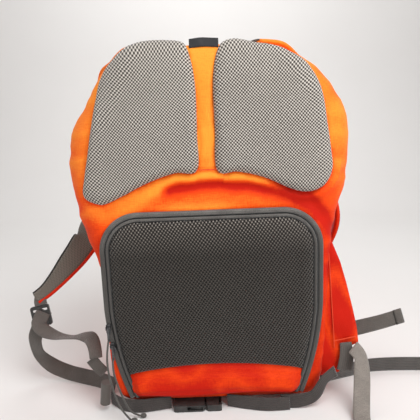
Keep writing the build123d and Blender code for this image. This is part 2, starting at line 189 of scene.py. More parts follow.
def tube(name, points, radius, material, sides=8, flat=1.0):
    """A tube along points; flat squashes it front to back."""
    pts = [Vector(p) for p in points]
    verts, uvs, run = [], [], 0.0
    for i, p in enumerate(pts):
        along = (pts[min(i + 1, len(pts) - 1)] - pts[max(i - 1, 0)]).normalized()
        side = along.cross(BACKWARDS).normalized()
        out = side.cross(along).normalized()
        run += (p - pts[max(i - 1, 0)]).length
        for k in range(sides):
            a = 2 * math.pi * k / sides
            verts.append(p + side * radius * math.cos(a) + out * radius * flat * math.sin(a))
            uvs.append((radius * a, run))
    return add_object(name, verts, capped_grid(len(pts), sides), material, uvs)


def join(name, objects):
    """Several new objects as one."""
    with bpy.context.temp_override(active_object=objects[0], selected_editable_objects=objects):
        bpy.ops.object.join()
    objects[0].name = name
    return objects[0]


def attach(obj, body, slot, *stands_for):
    """Puts a finished piece on its body and hides the CAD nodes that it stands for; its material slot is not
    used.
    """
    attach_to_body(obj, body)
    if stands_for:
        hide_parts(*stands_for)


# ---- materials ----
class Shader:
    """A short way to build one node material."""

    def __init__(self, name, roughness=0.7, sheen=0.0, metallic=0.0, specular=0.5):
        self.material = bpy.data.materials.new(name)
        self.material.use_nodes = True
        self.tree = self.material.node_tree
        self.surface = self.tree.nodes["Principled BSDF"]
        self.surface.inputs["Roughness"].default_value = roughness
        self.surface.inputs["Sheen Weight"].default_value = sheen
        self.surface.inputs["Sheen Roughness"].default_value = 0.4
        self.surface.inputs["Metallic"].default_value = metallic
        self.surface.inputs["Specular IOR Level"].default_value = specular

    def node(self, kind, **settings):
        node = self.tree.nodes.new(kind)
        for key, value in settings.items():
            setattr(node, key, value)
        return node

    def link(self, source, target):
        self.tree.links.new(source, target)

    def place(self, uv=False):
        """Where a point is: on the object in metres, or along a strap."""
        coords = self.node("ShaderNodeTexCoord")
        return coords.outputs["UV" if uv else "Object"]

    def axis(self, vector, name):
        split = self.node("ShaderNodeSeparateXYZ")
        self.link(vector, split.inputs[0])
        return split.outputs[name]

    def math(self, operation, a, b=None, c=None, clamp=False):
        node = self.node("ShaderNodeMath", operation=operation, use_clamp=clamp)
        for socket, value in zip(node.inputs, (a, b, c)):
            if value is None:
                continue
            if isinstance(value, (int, float)):
                socket.default_value = value
            else:
                self.link(value, socket)
        return node.outputs[0]

    def add(self, a, b, **settings):
        return self.math("ADD", a, b, **settings)

    def times(self, a, b, **settings):
        return self.math("MULTIPLY", a, b, **settings)

    def scaled(self, a, scale, shift, **settings):
        return self.math("MULTIPLY_ADD", a, scale, shift, **settings)

    def noise(self, vector, scale, detail=2.0, stretch=None):
        if stretch:
            mapping = self.node("ShaderNodeMapping")
            mapping.inputs["Scale"].default_value = stretch
            self.link(vector, mapping.inputs[0])
            vector = mapping.outputs[0]
        node = self.node("ShaderNodeTexNoise")
        node.inputs["Scale"].default_value = scale
        node.inputs["Detail"].default_value = detail
        self.link(vector, node.inputs["Vector"])
        return node.outputs[0]

    def mix(self, factor, a, b):
        """Mixes two colours, each a triple or a socket."""
        node = self.node("ShaderNodeMix", data_type="RGBA")
        self.link(factor, node.inputs[0])
        for socket, value in ((node.inputs[6], a), (node.inputs[7], b)):
            if isinstance(value, tuple):
                socket.default_value = (*value, 1)
            else:
                self.link(value, socket)
        return node.outputs[2]

    def colour(self, value):
        self.link(value, self.surface.inputs["Base Color"])

    def bump(self, height, distance, strength=1.0):
        node = self.node("ShaderNodeBump")
        node.inputs["Distance"].default_value = distance
        node.inputs["Strength"].default_value = strength
        self.link(height, node.inputs["Height"])
        self.link(node.outputs[0], self.surface.inputs["Normal"])


def nylon(name, deep, middle, light):
    """Woven nylon: fine threads and cloudy colour; a per-point attribute paints light and shade on it, from
    deep, a painted-shade red, to light, a painted-highlight orange.
    """
    s = Shader(name, roughness=0.62, sheen=0.03, specular=0.10)
    at = s.place()
    tone_and_shade = s.node("ShaderNodeAttribute", attribute_name="tone_and_shade").outputs["Fac"]
    cloud = s.scaled(s.noise(at, 11, 3), 0.9, -0.45)
    level = s.add(tone_and_shade, cloud)
    warp = s.noise(at, 900, 1, stretch=(1, 1, 0.12))
    weft = s.noise(at, 900, 1, stretch=(0.12, 0.12, 1))
    thread = s.add(warp, weft)
    level = s.add(level, s.scaled(thread, 0.5, -0.5))
    # Painted shade below zero and painted highlight above it, on top of the cloud and the threads.
    dark = s.times(level, -1.0, clamp=True)
    bright = s.times(level, 1.0, clamp=True)
    s.colour(s.mix(dark, s.mix(bright, middle, light), deep))
    s.bump(s.add(thread, s.times(s.noise(at, 60, 3), 0.7)), 0.0006, 0.45)
    return s.material


def set_tone_and_shade(obj, tone_and_shade):
    """Writes the nylon's painted light and shade on every point, as a number or a function of the place."""
    attribute = obj.data.attributes.new("tone_and_shade", "FLOAT", "POINT")
    for value, vertex in zip(attribute.data, obj.data.vertices):
        value.value = tone_and_shade(vertex.co) if callable(tone_and_shade) else tone_and_shade


def hole_mask(s, u, v, pitch_u, pitch_v, radius, softness, shift=0.0):
    """1 on the threads and 0 in the holes of a quincunx lattice."""
    nearest = None
    for offset in (0.0, 0.5):
        du = s.math("FRACT", s.scaled(u, 1 / pitch_u, offset + shift))
        du = s.math("SUBTRACT", du, 0.5)
        dv = s.math("SUBTRACT", s.math("FRACT", s.scaled(v, 1 / pitch_v, offset)), 0.5)
        du = s.times(du, pitch_u)
        dv = s.times(dv, pitch_v)
        squared = s.add(s.times(du, du), s.times(dv, dv))
        distance = s.math("SQRT", squared)
        nearest = distance if nearest is None else s.math("MINIMUM", nearest, distance)
    return s.scaled(nearest, 1 / softness, -radius / softness, clamp=True)


def spacer_mesh(name, thread, light, knot, hole, pitch_u, pitch_v, radius, turn, fade):
    """Open spacer mesh: rows of round holes, knitted ribs and bright knots; turn is in degrees."""
    s = Shader(name, roughness=0.85, sheen=0.25, specular=0.2)
    at = s.place(uv=True)
    wobble = s.times(s.noise(at, 26, 1), 0.0016)
    across, up = s.axis(at, "X"), s.axis(at, "Y")
    cos, sin = math.cos(math.radians(turn)), math.sin(math.radians(turn))
    u = s.scaled(across, cos, s.scaled(up, sin, wobble))
    v = s.scaled(across, -sin, s.scaled(up, cos, wobble))
    mask = hole_mask(s, u, v, pitch_u, pitch_v, radius, 0.0005)
    knots = hole_mask(s, u, v, pitch_u, pitch_v, 0.0003, 0.0009, shift=0.5)
    cloud = s.noise(at, 14, 2)
    knit = s.noise(at, 1500, 2)
    yarn = s.mix(s.scaled(s.add(cloud, knit), 1.2, -0.75, clamp=True), thread, light)
    # Painted shade: the yarn darkens lower down the face, weighted by fade, as the light falls off from the
    # top.
    painted_low_shade = s.scaled(up, -14.0, 4.5, clamp=True)
    shaded = s.mix(s.times(painted_low_shade, fade), s.mix(knots, knot, yarn), thread)
    s.colour(s.mix(mask, hole, shaded))
    relief = s.add(mask, s.times(knit, 0.25))
    s.bump(s.math("SUBTRACT", relief, s.times(knots, 0.4)), 0.0014, 0.9)
    return s.material


def fine_mesh(name, dark, light):
    """Fine strap mesh, read along the strap."""
    s = Shader(name, roughness=0.85, sheen=0.2, specular=0.2)
    at = s.place(uv=True)
    mask = hole_mask(s, s.axis(at, "X"), s.axis(at, "Y"), 0.0032, 0.0044, 0.0006, 0.0006)
    knit = s.noise(at, 900, 2)
    s.colour(s.mix(s.times(mask, s.scaled(knit, 0.9, 0.3)), dark, light))
    s.bump(s.add(mask, knit), 0.0008, 0.6)
    return s.material


def woven_webbing(name, dark, light, rib_depth, painted_low_shade=0.0):
    """Nylon webbing: cross ribs, long ribs and heathered yarn; its low-shade weight paints shade on it,
    darker below the door's top.
    """
    s = Shader(name, roughness=0.72, sheen=0.3, specular=0.3)
    at = s.place(uv=True)
    u, v = s.axis(at, "X"), s.axis(at, "Y")
    ribs = s.math("SINE", s.times(v, 2 * math.pi / 0.0011))
    lines = s.math("SINE", s.times(u, 2 * math.pi / 0.0031))
    heather = s.noise(at, 1400, 2, stretch=(1, 0.35, 1))
    cloud = s.noise(at, 40, 2)
    height = s.add(s.times(ribs, 0.35), s.times(lines, rib_depth))
    tone_and_shade = s.scaled(s.add(heather, s.times(cloud, 0.6)), 1.3, -0.62,
                  clamp=True)
    shade = s.scaled(lines, 0.12 * rib_depth, tone_and_shade, clamp=True)
    # Painted shade: darker below the door's top.
    if painted_low_shade:
        low = s.scaled(s.axis(s.place(), "Z"), -16.0, 5.1, clamp=True)
        shade = s.times(shade, s.scaled(low, -painted_low_shade, 1.0))
    s.colour(s.mix(shade, dark, light))
    s.bump(s.add(height, heather), 0.0005, 0.7)
    return s.material


def moulded(name, colour, edge, roughness=0.45):
    """Moulded plastic with a fine spark texture and paler worn patches."""
    s = Shader(name, roughness=roughness, specular=0.4)
    at = s.place()
    patch = s.scaled(s.noise(at, 90, 4), 2.2, -1.05, clamp=True)
    s.colour(s.mix(patch, colour, edge))
    s.bump(s.noise(at, 2500, 2), 0.0002, 0.3)
    return s.material


def braid(name, dark, light):
    """Braided cord: two crossing helices of yarn."""
    s = Shader(name, roughness=0.8, sheen=0.2, specular=0.2)
    at = s.place()
    z, x = s.axis(at, "Z"), s.axis(at, "X")
    one = s.math("SINE", s.times(s.add(z, x), 2 * math.pi / 0.0016))
    two = s.math("SINE", s.times(s.math("SUBTRACT", z, x), 2 * math.pi / 0.0016))
    weave = s.scaled(s.times(one, two), 0.5, 0.5, clamp=True)
    s.colour(s.mix(weave, dark, light))
    s.bump(weave, 0.0004, 0.8)
    return s.material


def metal(name, colour, worn, roughness):
    s = Shader(name, roughness=roughness, metallic=1.0)
    at = s.place()
    s.colour(s.mix(s.scaled(s.noise(at, 240, 4), 2.0, -0.8, clamp=True), colour, worn))
    s.bump(s.noise(at, 900, 2), 0.0002, 0.2)
    return s.material


def paper():
    s = Shader("paper_sweep", roughness=0.85, specular=0.1)
    at = s.place()
    s.colour(s.mix(s.noise(at, 3, 2), (0.75, 0.735, 0.725), (0.78, 0.768, 0.758)))
    return s.material


# Nylon colours: deep is a painted-shade red, light a painted-highlight orange, and middle lies between them.
ORANGE = nylon("orange_nylon", (0.50, 0.010, 0.002), (0.84, 0.068, 0.004), (0.98, 0.300, 0.030))
LINING = nylon("orange_lining", (0.42, 0.020, 0.006), (0.58, 0.065, 0.012), (0.66, 0.12, 0.025))
# The last number weights the mesh's painted shade lower down: slight on the pads, strong on the door.
PAD_MESH = spacer_mesh("pad_spacer_mesh", (0.285, 0.255, 0.225), (0.40, 0.365, 0.325), (0.70, 0.655, 0.60),
                       (0.040, 0.034, 0.029), 0.00455, 0.00476, 0.00085, 3.0, 0.15)
DOOR_MESH = spacer_mesh("door_spacer_mesh", (0.026, 0.022, 0.018), (0.100, 0.086, 0.075), (0.46, 0.41, 0.365),
                        (0.003, 0.002, 0.002), 0.0052, 0.0063, 0.0010, 6.0, 0.85)
STRAP_MESH = fine_mesh("strap_fine_mesh", (0.055, 0.048, 0.040), (0.225, 0.195, 0.165))
WEBBING = woven_webbing("webbing", (0.070, 0.061, 0.055), (0.150, 0.132, 0.118), 0.25)
RIBBED = woven_webbing("ribbed_webbing", (0.055, 0.050, 0.047), (0.120, 0.110, 0.102), 1.0)
# Pale heathered webbing, paler still with painted light, as this tail lies in the light in front of the bag.
HEATHER_LIT = woven_webbing("heather_webbing_lit", (0.13, 0.113, 0.10), (0.35, 0.31, 0.275), 0.15)
# The zip tape carries painted shade, darker lower down.
ZIP_TAPE = woven_webbing("zip_tape", (0.050, 0.046, 0.042), (0.24, 0.224, 0.21), 0.5, painted_low_shade=0.8)
# Dark grey belt webbing, made darker still with painted shade, as the belt lies in shadow under the bag's
# foot.
BELT_GREY_SHADED = woven_webbing("belt_webbing", (0.026, 0.021, 0.020), (0.085, 0.072, 0.066), 0.6)
COIL = moulded("zip_coil", (0.018, 0.018, 0.018), (0.04, 0.04, 0.04), 0.35)
SEAM = moulded("seam_thread_dark", (0.020, 0.018, 0.016), (0.05, 0.045, 0.04), 0.8)
STITCH = moulded("seam_thread_orange", (0.62, 0.045, 0.010), (0.75, 0.08, 0.015), 0.7)
PLASTIC = moulded("buckle_plastic", (0.030, 0.029, 0.028), (0.075, 0.072, 0.068), 0.42)
LABEL = moulded("blank_woven_label", (0.020, 0.020, 0.022), (0.045, 0.045, 0.047), 0.8)
CORD = braid("braided_cord", (0.035, 0.033, 0.030), (0.15, 0.14, 0.13))
SHEET = moulded("frame_sheet_plastic", (0.62, 0.62, 0.60), (0.70, 0.70, 0.68), 0.5)
ALUMINIUM = metal("stay_aluminium", (0.75, 0.76, 0.78), (0.60, 0.61, 0.63), 0.35)
ZIP_METAL = metal("slider_metal", (0.10, 0.10, 0.105), (0.22, 0.22, 0.22), 0.45)


SWEEP_WIDTH, BEND_START, BEND_RADIUS = 3.0, 1.3, 0.9


def make_stage():
    """A paper sweep: flat floor, a wide bend and a wall behind."""
    profile = [(-SWEEP_WIDTH, 0.0), (BEND_START, 0.0)]
    for degrees in range(6, 91, 6):
        a = math.radians(degrees)
        profile.append((BEND_START + BEND_RADIUS * math.sin(a), BEND_RADIUS * (1 - math.cos(a))))
    profile.append((BEND_START + BEND_RADIUS, SWEEP_WIDTH))
    verts = [(x, y, z) for y, z in profile for x in (-SWEEP_WIDTH, SWEEP_WIDTH)]
    floor = add_object("paper_sweep", verts, grid_faces(len(profile), 2), paper())


make_camera()
make_lights()
make_stage()

# ---- the bag's form ----
# Levels up the wall: height, half width, back, front, back corner, front corner, lean to +X.
LEVELS = [
    (0.0006, 0.050, -0.020, 0.020, 0.015, 0.015, 0.004),
    (0.0006, 0.136, -0.068, 0.076, 0.028, 0.038, 0.004),
    (0.006, 0.149, -0.084, 0.090, 0.026, 0.042, 0.004),
    (0.028, 0.160, -0.103, 0.102, 0.017, 0.045, 0.004),
    (0.090, 0.1645, -0.105, 0.106, 0.009, 0.048, 0.004),
    (0.160, 0.166, -0.105, 0.110, 0.009, 0.050, 0.004),
    (0.225, 0.171, -0.105, 0.112, 0.018, 0.055, 0.004),
    (0.290, 0.189, -0.105, 0.114, 0.034, 0.060, -0.001),
    (0.345, 0.204, -0.105, 0.114, 0.050, 0.064, 0.001),
    (0.395, 0.211, -0.105, 0.114, 0.060, 0.066, 0.002),
    (0.438, 0.206, -0.1045, 0.110, 0.060, 0.066, 0.006),
    (0.475, 0.187, -0.103, 0.104, 0.058, 0.064, 0.010),
    (0.505, 0.167, -0.102, 0.094, 0.055, 0.063, 0.007),
    (0.528, 0.145, -0.097, 0.082, 0.050, 0.060, 0.003),
    (0.541, 0.116, -0.086, 0.066, 0.044, 0.054, 0.001),
    (0.546, 0.085, -0.064, 0.042, 0.040, 0.045, 0.0),
    (0.547, 0.030, -0.020, 0.010, 0.015, 0.015, 0.0),
]
COLUMNS = list(zip(*LEVELS))
FLAT_LEVEL, SLOPE_LEVEL = 9, 11      # the back is flat up to the first, and slopes away above the second
SLOPE_STRETCH = 1.15                 # cloth length for each unit of height on the slope
BACK_ZONE_Y = -0.045                 # seams and folds are worked only nearer to the wearer than this
BACK_POINTS, CORNER_POINTS, SIDE_POINTS, FRONT_POINTS = 100, 16, 34, 60
RING_STEP = 0.0034


def level_at(t):
    """The section's numbers at a fractional level."""
    return [catmull(column, t) for column in COLUMNS]


def profile_lengths():
    """Distance up the middle of the back to each level, counted from the floor."""
    lengths = [0.0]
    for low, high in zip(LEVELS, LEVELS[1:]):
        lengths.append(lengths[-1] + math.hypot(high[0] - low[0], high[2] - low[2]))
    shift = LEVELS[FLAT_LEVEL][0] - lengths[FLAT_LEVEL]
    return [s + shift for s in lengths]


PROFILE = profile_lengths()


def level_of(s):
    """The fractional level at a distance up the back; it equals the height on the flat part."""
    for i, (low, high) in enumerate(zip(PROFILE, PROFILE[1:])):
        if s < high:
            return i + max(s - low, 0) / (high - low)
    return len(LEVELS) - 1.001


def rim_lift(x, y, z):
    """How far the top edge of the back stands up above the lid."""
    height = 0.0068 - 0.0042 * smooth((x - 0.035) / 0.04)
    width = 0.012 if y < -0.088 else 0.0065
    fade = smooth((z - 0.518) / 0.02) * smooth((0.16 - abs(x)) / 0.06)
    return height * bell(y + 0.088, width) * fade


def back_point(x, s):
    """A point of the bag's back, at x across and s up the cloth."""
    z, half, back, front, corner, front_corner, lean = level_at(level_of(s))
    over = abs(x - lean) - (half - corner)
    y = back
    if over > 0:
        over = min(over, corner * 0.98)
        y = back + corner - math.sqrt(max(corner ** 2 - over ** 2, 0))
    return Vector((x, y, z + rim_lift(x, y, z)))


def back_frame(x, s):
    """A point of the back and the outward normal there."""
    step = 0.002
    p = back_point(x, s)
    du = back_point(x + step, s) - back_point(x - step, s)
    dv = back_point(x, s + step) - back_point(x, s - step)
    return p, du.cross(dv).normalized()


def quarter_turn(x, y, start, radius):
    """A rounded corner about a centre: from facing the back to the side, or from the side to the front."""
    angles = [start + math.pi / 2 * i / CORNER_POINTS for i in range(CORNER_POINTS)]
    return [(x + radius * math.sin(a), y - radius * math.cos(a)) for a in angles]


def section_ring(t):
    """Points round the bag at a level, starting at the middle of the back."""
    z, half, back, front, corner, front_corner, lean = level_at(t)
    flat, flat_front = half - corner, half - front_corner
    y_low, y_high = back + corner, front - front_corner
    right = [(flat * i / (BACK_POINTS // 2), back) for i in range(BACK_POINTS // 2)]
    right += quarter_turn(flat, y_low, 0, corner)
    right += [(half, lerp(y_low, y_high, i / SIDE_POINTS)) for i in range(SIDE_POINTS)]
    right += quarter_turn(flat_front, y_high, math.pi / 2, front_corner)
    right += [(flat_front * (1 - i / (FRONT_POINTS // 2)), front) for i in range(FRONT_POINTS // 2 + 1)]
    left = [(-x, y) for x, y in right[1:-1]][::-1]
    return [Vector((x + lean, y, z + rim_lift(x, y, z))) for x, y in right + left]


# Outlines on the back, as (x, s).
DOOR_TOP, DOOR_HALF, DOOR_CORNER, DOOR_FOOT, DOOR_WIDEST = 0.316, 0.164, 0.058, 0.030, 0.170
DOOR_BASE = 0.025
DOOR_CUT_Y = -0.088            # the door is cut only through the wall nearer to the wearer than this


def arc(start, middle, end, count):
    """Points on the circle through three points, without the last."""
    (ax, ay), (bx, by), (cx, cy) = start, middle, end
    d = 2 * (ax * (by - cy) + bx * (cy - ay) + cx * (ay - by))
    ux = ((ax * ax + ay * ay) * (by - cy) + (bx * bx + by * by) * (cy - ay)
          + (cx * cx + cy * cy) * (ay - by)) / d
    uy = ((ax * ax + ay * ay) * (cx - bx) + (bx * bx + by * by) * (ax - cx)
          + (cx * cx + cy * cy) * (bx - ax)) / d
    radius = math.hypot(ax - ux, ay - uy)
    a0 = math.atan2(ay - uy, ax - ux)
    turn = math.atan2(cy - uy, cx - ux) - a0
    through = math.atan2(by - uy, bx - ux) - a0
    while turn < 0:
        turn += 2 * math.pi
    while through < 0:
        through += 2 * math.pi
    if through > turn:
        turn -= 2 * math.pi
    return [(ux + radius * math.cos(a0 + turn * i / count), uy + radius * math.sin(a0 + turn * i / count))
            for i in range(count)]


def door_side(inset):
    """The door's edge from its right foot, up, over the top, and down to its left foot."""
    half, top, corner = DOOR_HALF - inset, DOOR_TOP - inset, DOOR_CORNER - inset
    waist = (half - 0.009, (DOOR_BASE + DOOR_WIDEST) / 2)
    right = arc((half - DOOR_FOOT, DOOR_BASE), waist, (half, DOOR_WIDEST), 24)
    diagonal = corner * math.sqrt(0.5)
    right += [(half, DOOR_WIDEST), (half, top - corner)]
    right += arc((half, top - corner), (half - corner + diagonal, top - corner + diagonal),
                 (half - corner, top), 14)[1:]
    right += [(half - corner, top)]
    left = [(-x, s) for x, s in right[::-1]]
    return right + left


# Half the pads' outlines, listed: the left pad has a sharper outer corner than the right.
LEFT_PAD = [
    (0.030, 0.5465), (0.023, 0.534), (0.0175, 0.512), (0.0150, 0.480), (0.0155, 0.425), (0.0175, 0.3745),
    (0.048, 0.3725), (0.088, 0.360), (0.124, 0.3435), (0.148, 0.3325), (0.160, 0.3310), (0.1795, 0.341),
    (0.1765, 0.366), (0.169, 0.400), (0.161, 0.438), (0.1515, 0.478), (0.144, 0.504), (0.133, 0.522),
    (0.114, 0.537), (0.090, 0.548), (0.064, 0.5525), (0.046, 0.5505),
]
RIGHT_PAD = [
    (0.030, 0.5465), (0.022, 0.539), (0.0155, 0.522), (0.0120, 0.490), (0.0125, 0.430), (0.0135, 0.3735),
    (0.042, 0.3715), (0.080, 0.362), (0.112, 0.3475), (0.134, 0.3400), (0.152, 0.3410), (0.168, 0.351),
    (0.176, 0.370), (0.174, 0.394), (0.168, 0.436), (0.162, 0.474), (0.153, 0.497), (0.140, 0.516),
    (0.122, 0.529), (0.096, 0.540), (0.066, 0.547), (0.044, 0.5495),
]


def pad_outline(side):
    """An upper pad's outline."""
    points = LEFT_PAD if side < 0 else RIGHT_PAD
    return [(side * x, s) for x, s in rounded(points)]


def rounded(points):
    """A closed smooth outline through points; neighbours closer than the rest keep a corner tight."""
    count = len(points)
    out = []
    for i in range(count):
        window = [points[(i + k) % count] for k in (-1, 0, 1, 2)]
        for k in range(6):
            f = k / 6
            out.append(tuple(0.5 * (2 * b + (c - a) * f + (2 * a - 5 * b + 4 * c - d) * f * f
                                    + (3 * b - a - 3 * c + d) * f ** 3) for a, b, c, d in zip(*window)))
    return out


def inside(outline, x, s):
    """Whether a point is inside a closed outline."""
    hit = False
    for (ax, ay), (bx, by) in zip(outline, outline[1:] + outline[:1]):
        if (ay > s) != (by > s) and x < (bx - ax) * (s - ay) / (by - ay) + ax:
            hit = not hit
    return hit


def edge_distance(outline, x, s):
    """Distance from a point to a closed outline, and the nearest point of it."""
    best, nearest = 1e9, None
    for (ax, ay), (bx, by) in zip(outline, outline[1:] + outline[:1]):
        dx, dy = bx - ax, by - ay
        length = dx * dx + dy * dy
        f = min(max(((x - ax) * dx + (s - ay) * dy) / length, 0), 1) if length else 0
        px, py = ax + dx * f, ay + dy * f
        d = math.hypot(x - px, s - py)
        if d < best:
            best, nearest = d, (px, py)
    return best, nearest


PADS = {side: pad_outline(side) for side in (-1, 1)}
DOOR_HOLE_INSET = 0.005
DOOR_HOLE = door_side(DOOR_HOLE_INSET)
WALL = 0.003
FAR = 1.0


def ridge(p, scale, seed):
    """Sharp-crested noise, for creases."""
    return 1 - abs(noise.noise(Vector((p[0] * scale[0] + seed, p[1] * scale[1], p[2] * scale[2])))) * 2


def bell(distance, width):
    return math.exp(-(distance / width) ** 2)


VALLEY = [(-0.20, 0.345), (-0.06, 0.3475), (0.0, 0.3530), (0.05, 0.3500), (0.115, 0.3370), (0.148, 0.322),
          (0.172, 0.296), (0.20, 0.25)]


def valley_height(x):
    """Where the fold between the pads and the door runs."""
    for (ax, az), (bx, bz) in zip(VALLEY, VALLEY[1:]):
        if x < bx:
            return lerp(az, bz, max(x - ax, 0) / (bx - ax))
    return VALLEY[-1][1]


STRIP_HALF, STRIP_FOOT = 0.020, 0.3735       # the plain strip between the pads


def cloth(p, pad_gap, door_gap):
    """How far the cloth stands out or in at a point, and the painted light and shade there: lighter high up
    and on rolls, darker in folds, valleys and along seams.
    """
    out = 0.0022 * noise.noise(p * 7.0)
    side = smooth((abs(p.x) - 0.13) / 0.05)
    out += side * 0.0016 * ridge(p, (9, 9, 26), 3.1)
    out += 0.0010 * ridge(p, (22, 22, 14), 8.7) * (0.4 + side)
    behind = smooth((p.y + 0.05) / 0.08)
    rise = smooth((p.z - 0.22) / 0.22)
    # Painted light: lighter higher up, strongly on the back's face and mildly behind it.
    tone_and_shade = lerp(lerp(-0.35, 0.62, rise), lerp(-0.1, 0.35, rise), behind)
    # Painted shade on the right side, deeper below the pads, and under the left pad.
    tone_and_shade -= smooth((p.x - 0.11) / 0.05) * (0.12 + smooth((0.35 - p.z) / 0.05) * 0.33)
    tone_and_shade -= smooth((-0.105 - p.x) / 0.05) * smooth((0.37 - p.z) / 0.06) * 0.15
    pucker = ridge(p, (6, 6, 46), 1.3)
    out += side * smooth((p.z - 0.3) / 0.05) * 0.0016 * pucker
    # Painted light and shade in the side creases and puckers.
    tone_and_shade += side * 0.35 * (ridge(p, (9, 9, 26), 3.1) - 0.5) + side * 0.3 * (pucker - 0.5)
    if p.y > BACK_ZONE_Y:
        return out, tone_and_shade
    near_pad = bell(pad_gap, 0.010)
    out -= 0.0022 * bell(pad_gap - 0.002, 0.004)
    out += near_pad * 0.0009 * math.sin(p.x * 420 + 5 * noise.noise(p * 30))
    # Painted shadow along the pads' edges.
    tone_and_shade -= 0.7 * bell(pad_gap, 0.0025)
    below = smooth((0.386 - p.z) / 0.01)
    if abs(p.x) < STRIP_HALF:
        pad_gap = max(STRIP_FOOT - p.z, 0)
        below = smooth((STRIP_FOOT + 0.003 - p.z) / 0.004)
    centre = smooth((0.032 - abs(p.x)) / 0.012) * smooth((p.z - 0.374) / 0.008)
    strip_fold = ridge(Vector((p.x * 0.5, 0, p.z)), (20, 1, 40), 7.2) * smooth((0.47 - p.z) / 0.05)
    out += centre * (0.0022 + 0.0015 * (strip_fold - 0.4))
    # Painted light on the centre strip, with painted shade in its folds.
    tone_and_shade += centre * (0.35 + 0.5 * (strip_fold - 0.55) * smooth((0.47 - p.z) / 0.05))
    broad = 1 + 1.1 * smooth((-0.03 - p.x) / 0.08)
    roll = bell(pad_gap - 0.0085 * broad, 0.0065 * broad) * below * smooth((p.x + 0.19) / 0.03)
    out += roll * 0.0046 / broad
    # Painted highlight on the roll under the pads, broader at the left.
    tone_and_shade += roll * (0.75 - 0.35 * smooth((-0.06 - p.x) / 0.06)) * smooth((0.13 - p.x) / 0.06) + roll * 0.15
    depth = p.z - valley_height(p.x) + 0.0025 * noise.noise(Vector((p.x * 38, 0, 4.0)))
    reach = smooth((p.x + 0.075) / 0.02) * smooth((0.195 - p.x) / 0.03)
    valley = bell(depth, 0.0085 + 0.006 * smooth((p.x - 0.05) / 0.1)) * reach * below
    out -= valley * 0.0042
    # Painted shade in the valley between the pads and the door.
    tone_and_shade -= valley * 1.6
    low = bell(door_gap - 0.010, 0.006) * smooth((p.x + 0.10) / 0.05) * smooth((0.06 - p.x) / 0.06) * below
    out += low * 0.0035
    # Painted highlight on the low roll beside the zip.
    tone_and_shade += low * 0.55 * smooth((p.z - 0.29) / 0.02)
    slant = ridge(Vector((p.x + 0.8 * p.z, 0, p.z - 0.5 * p.x)), (5, 1, 22), 5.9)
    corner = smooth((-0.08 - p.x) / 0.05) * smooth((0.352 - p.z) / 0.02) * smooth((p.z - 0.2) / 0.05)
    out += corner * 0.0024 * (slant - 0.4)
    # Painted light and shade on the slanting folds at the lower left.
    tone_and_shade += corner * 0.45 * (slant - 0.55)
    out -= 0.0020 * bell(door_gap - 0.001, 0.005)
    # Painted shade along the door's edge.
    tone_and_shade -= 0.45 * bell(door_gap, 0.005)
    return out, tone_and_shade


def make_bag():
    """The bag's whole shell, the lid's part still joined to it, with the door's opening cut out of the back.
    """
    last = len(LEVELS) - 1
    steps = []
    for i in range(last):
        low, high = LEVELS[i], LEVELS[i + 1]
        rise = high[0] - low[0]
        run = max(math.hypot(rise, high[2] - low[2]), math.hypot(rise, high[1] - low[1]))
        count = max(int(run / RING_STEP), 2)
        steps += [i + k / count for k in range(count)]
    steps.append(last - 0.0001)
    rings = [section_ring(t) for t in steps]
    columns = len(rings[0])
    verts = [p for ring in rings for p in ring]
    bm = bmesh.new()
    made = [bm.verts.new(p) for p in verts]
    for face in grid_faces(len(rings), columns, wrap=True):
        bm.faces.new([made[i] for i in face])
    bm.faces.new(made[:columns][::-1])
    bm.faces.new(made[-columns:])
    bm.normal_update()
    cut_door(bm)
    bm.normal_update()
    tone_and_shade_layer = bm.verts.layers.float.new("tone_and_shade")
    moves = []
    for v in bm.verts:
        pad_gap = door_gap = FAR
        if v.co.y < BACK_ZONE_Y:
            pad_gap = min((edge_gap(pad, v.co) for pad in PADS.values()), key=abs)
            door_gap = edge_gap(DOOR_HOLE, v.co)
        out, v[tone_and_shade_layer] = cloth(v.co, pad_gap, door_gap)
        moves.append(v.normal * out * smooth((v.co.z - 0.002) / 0.03))
    for v, move in zip(bm.verts, moves):
        v.co += move
    return bm


def edge_gap(outline, p):
    """Distance outside an outline on the back; negative inside."""
    slope_foot = LEVELS[SLOPE_LEVEL][0]
    s = p.z if p.z < slope_foot else PROFILE[SLOPE_LEVEL] + (p.z - slope_foot) * SLOPE_STRETCH
    gap, _ = edge_distance(outline, p.x, s)
    return -gap if inside(outline, p.x, s) else gap


def cut_door(bm):
    """Opens the bag where the door is, with a clean edge under the zip tape."""
    doomed = []
    for face in bm.faces:
        x, y, z = face.calc_center_median()
        if y < DOOR_CUT_Y and z > DOOR_BASE and inside(DOOR_HOLE, x, z):
            doomed.append(face)
    bmesh.ops.delete(bm, geom=doomed, context="FACES")
    for v in bm.verts:
        if v.is_boundary and v.co.z > DOOR_BASE + 0.003:
            _, (v.co.x, v.co.z) = edge_distance(DOOR_HOLE, v.co.x, v.co.z)
        elif v.is_boundary:
            v.co.z = DOOR_BASE


LID_HALF, LID_HINGE_Y, LID_FRONT_Z = 0.066, -0.028, 0.470


def in_lid(p):
    return abs(p.x) < LID_HALF and p.y > LID_HINGE_Y and p.z > LID_FRONT_Z


def mesh_from(bm, name, keep):
    """The faces of the bag for which keep is true, as a lined shell of its own."""
    part = bm.copy()
    doomed = [f for f in part.faces if not keep(f.calc_center_median())]
    bmesh.ops.delete(part, geom=doomed, context="FACES")
    mesh = bpy.data.meshes.new(name)
    part.to_mesh(mesh)
    part.free()
    obj = link_mesh(mesh, ORANGE, LINING)
    shell = obj.modifiers.new("lining", "SOLIDIFY")
    shell.thickness = WALL
    shell.offset = -1
    shell.material_offset = 1
    shell.material_offset_rim = 0
    return obj


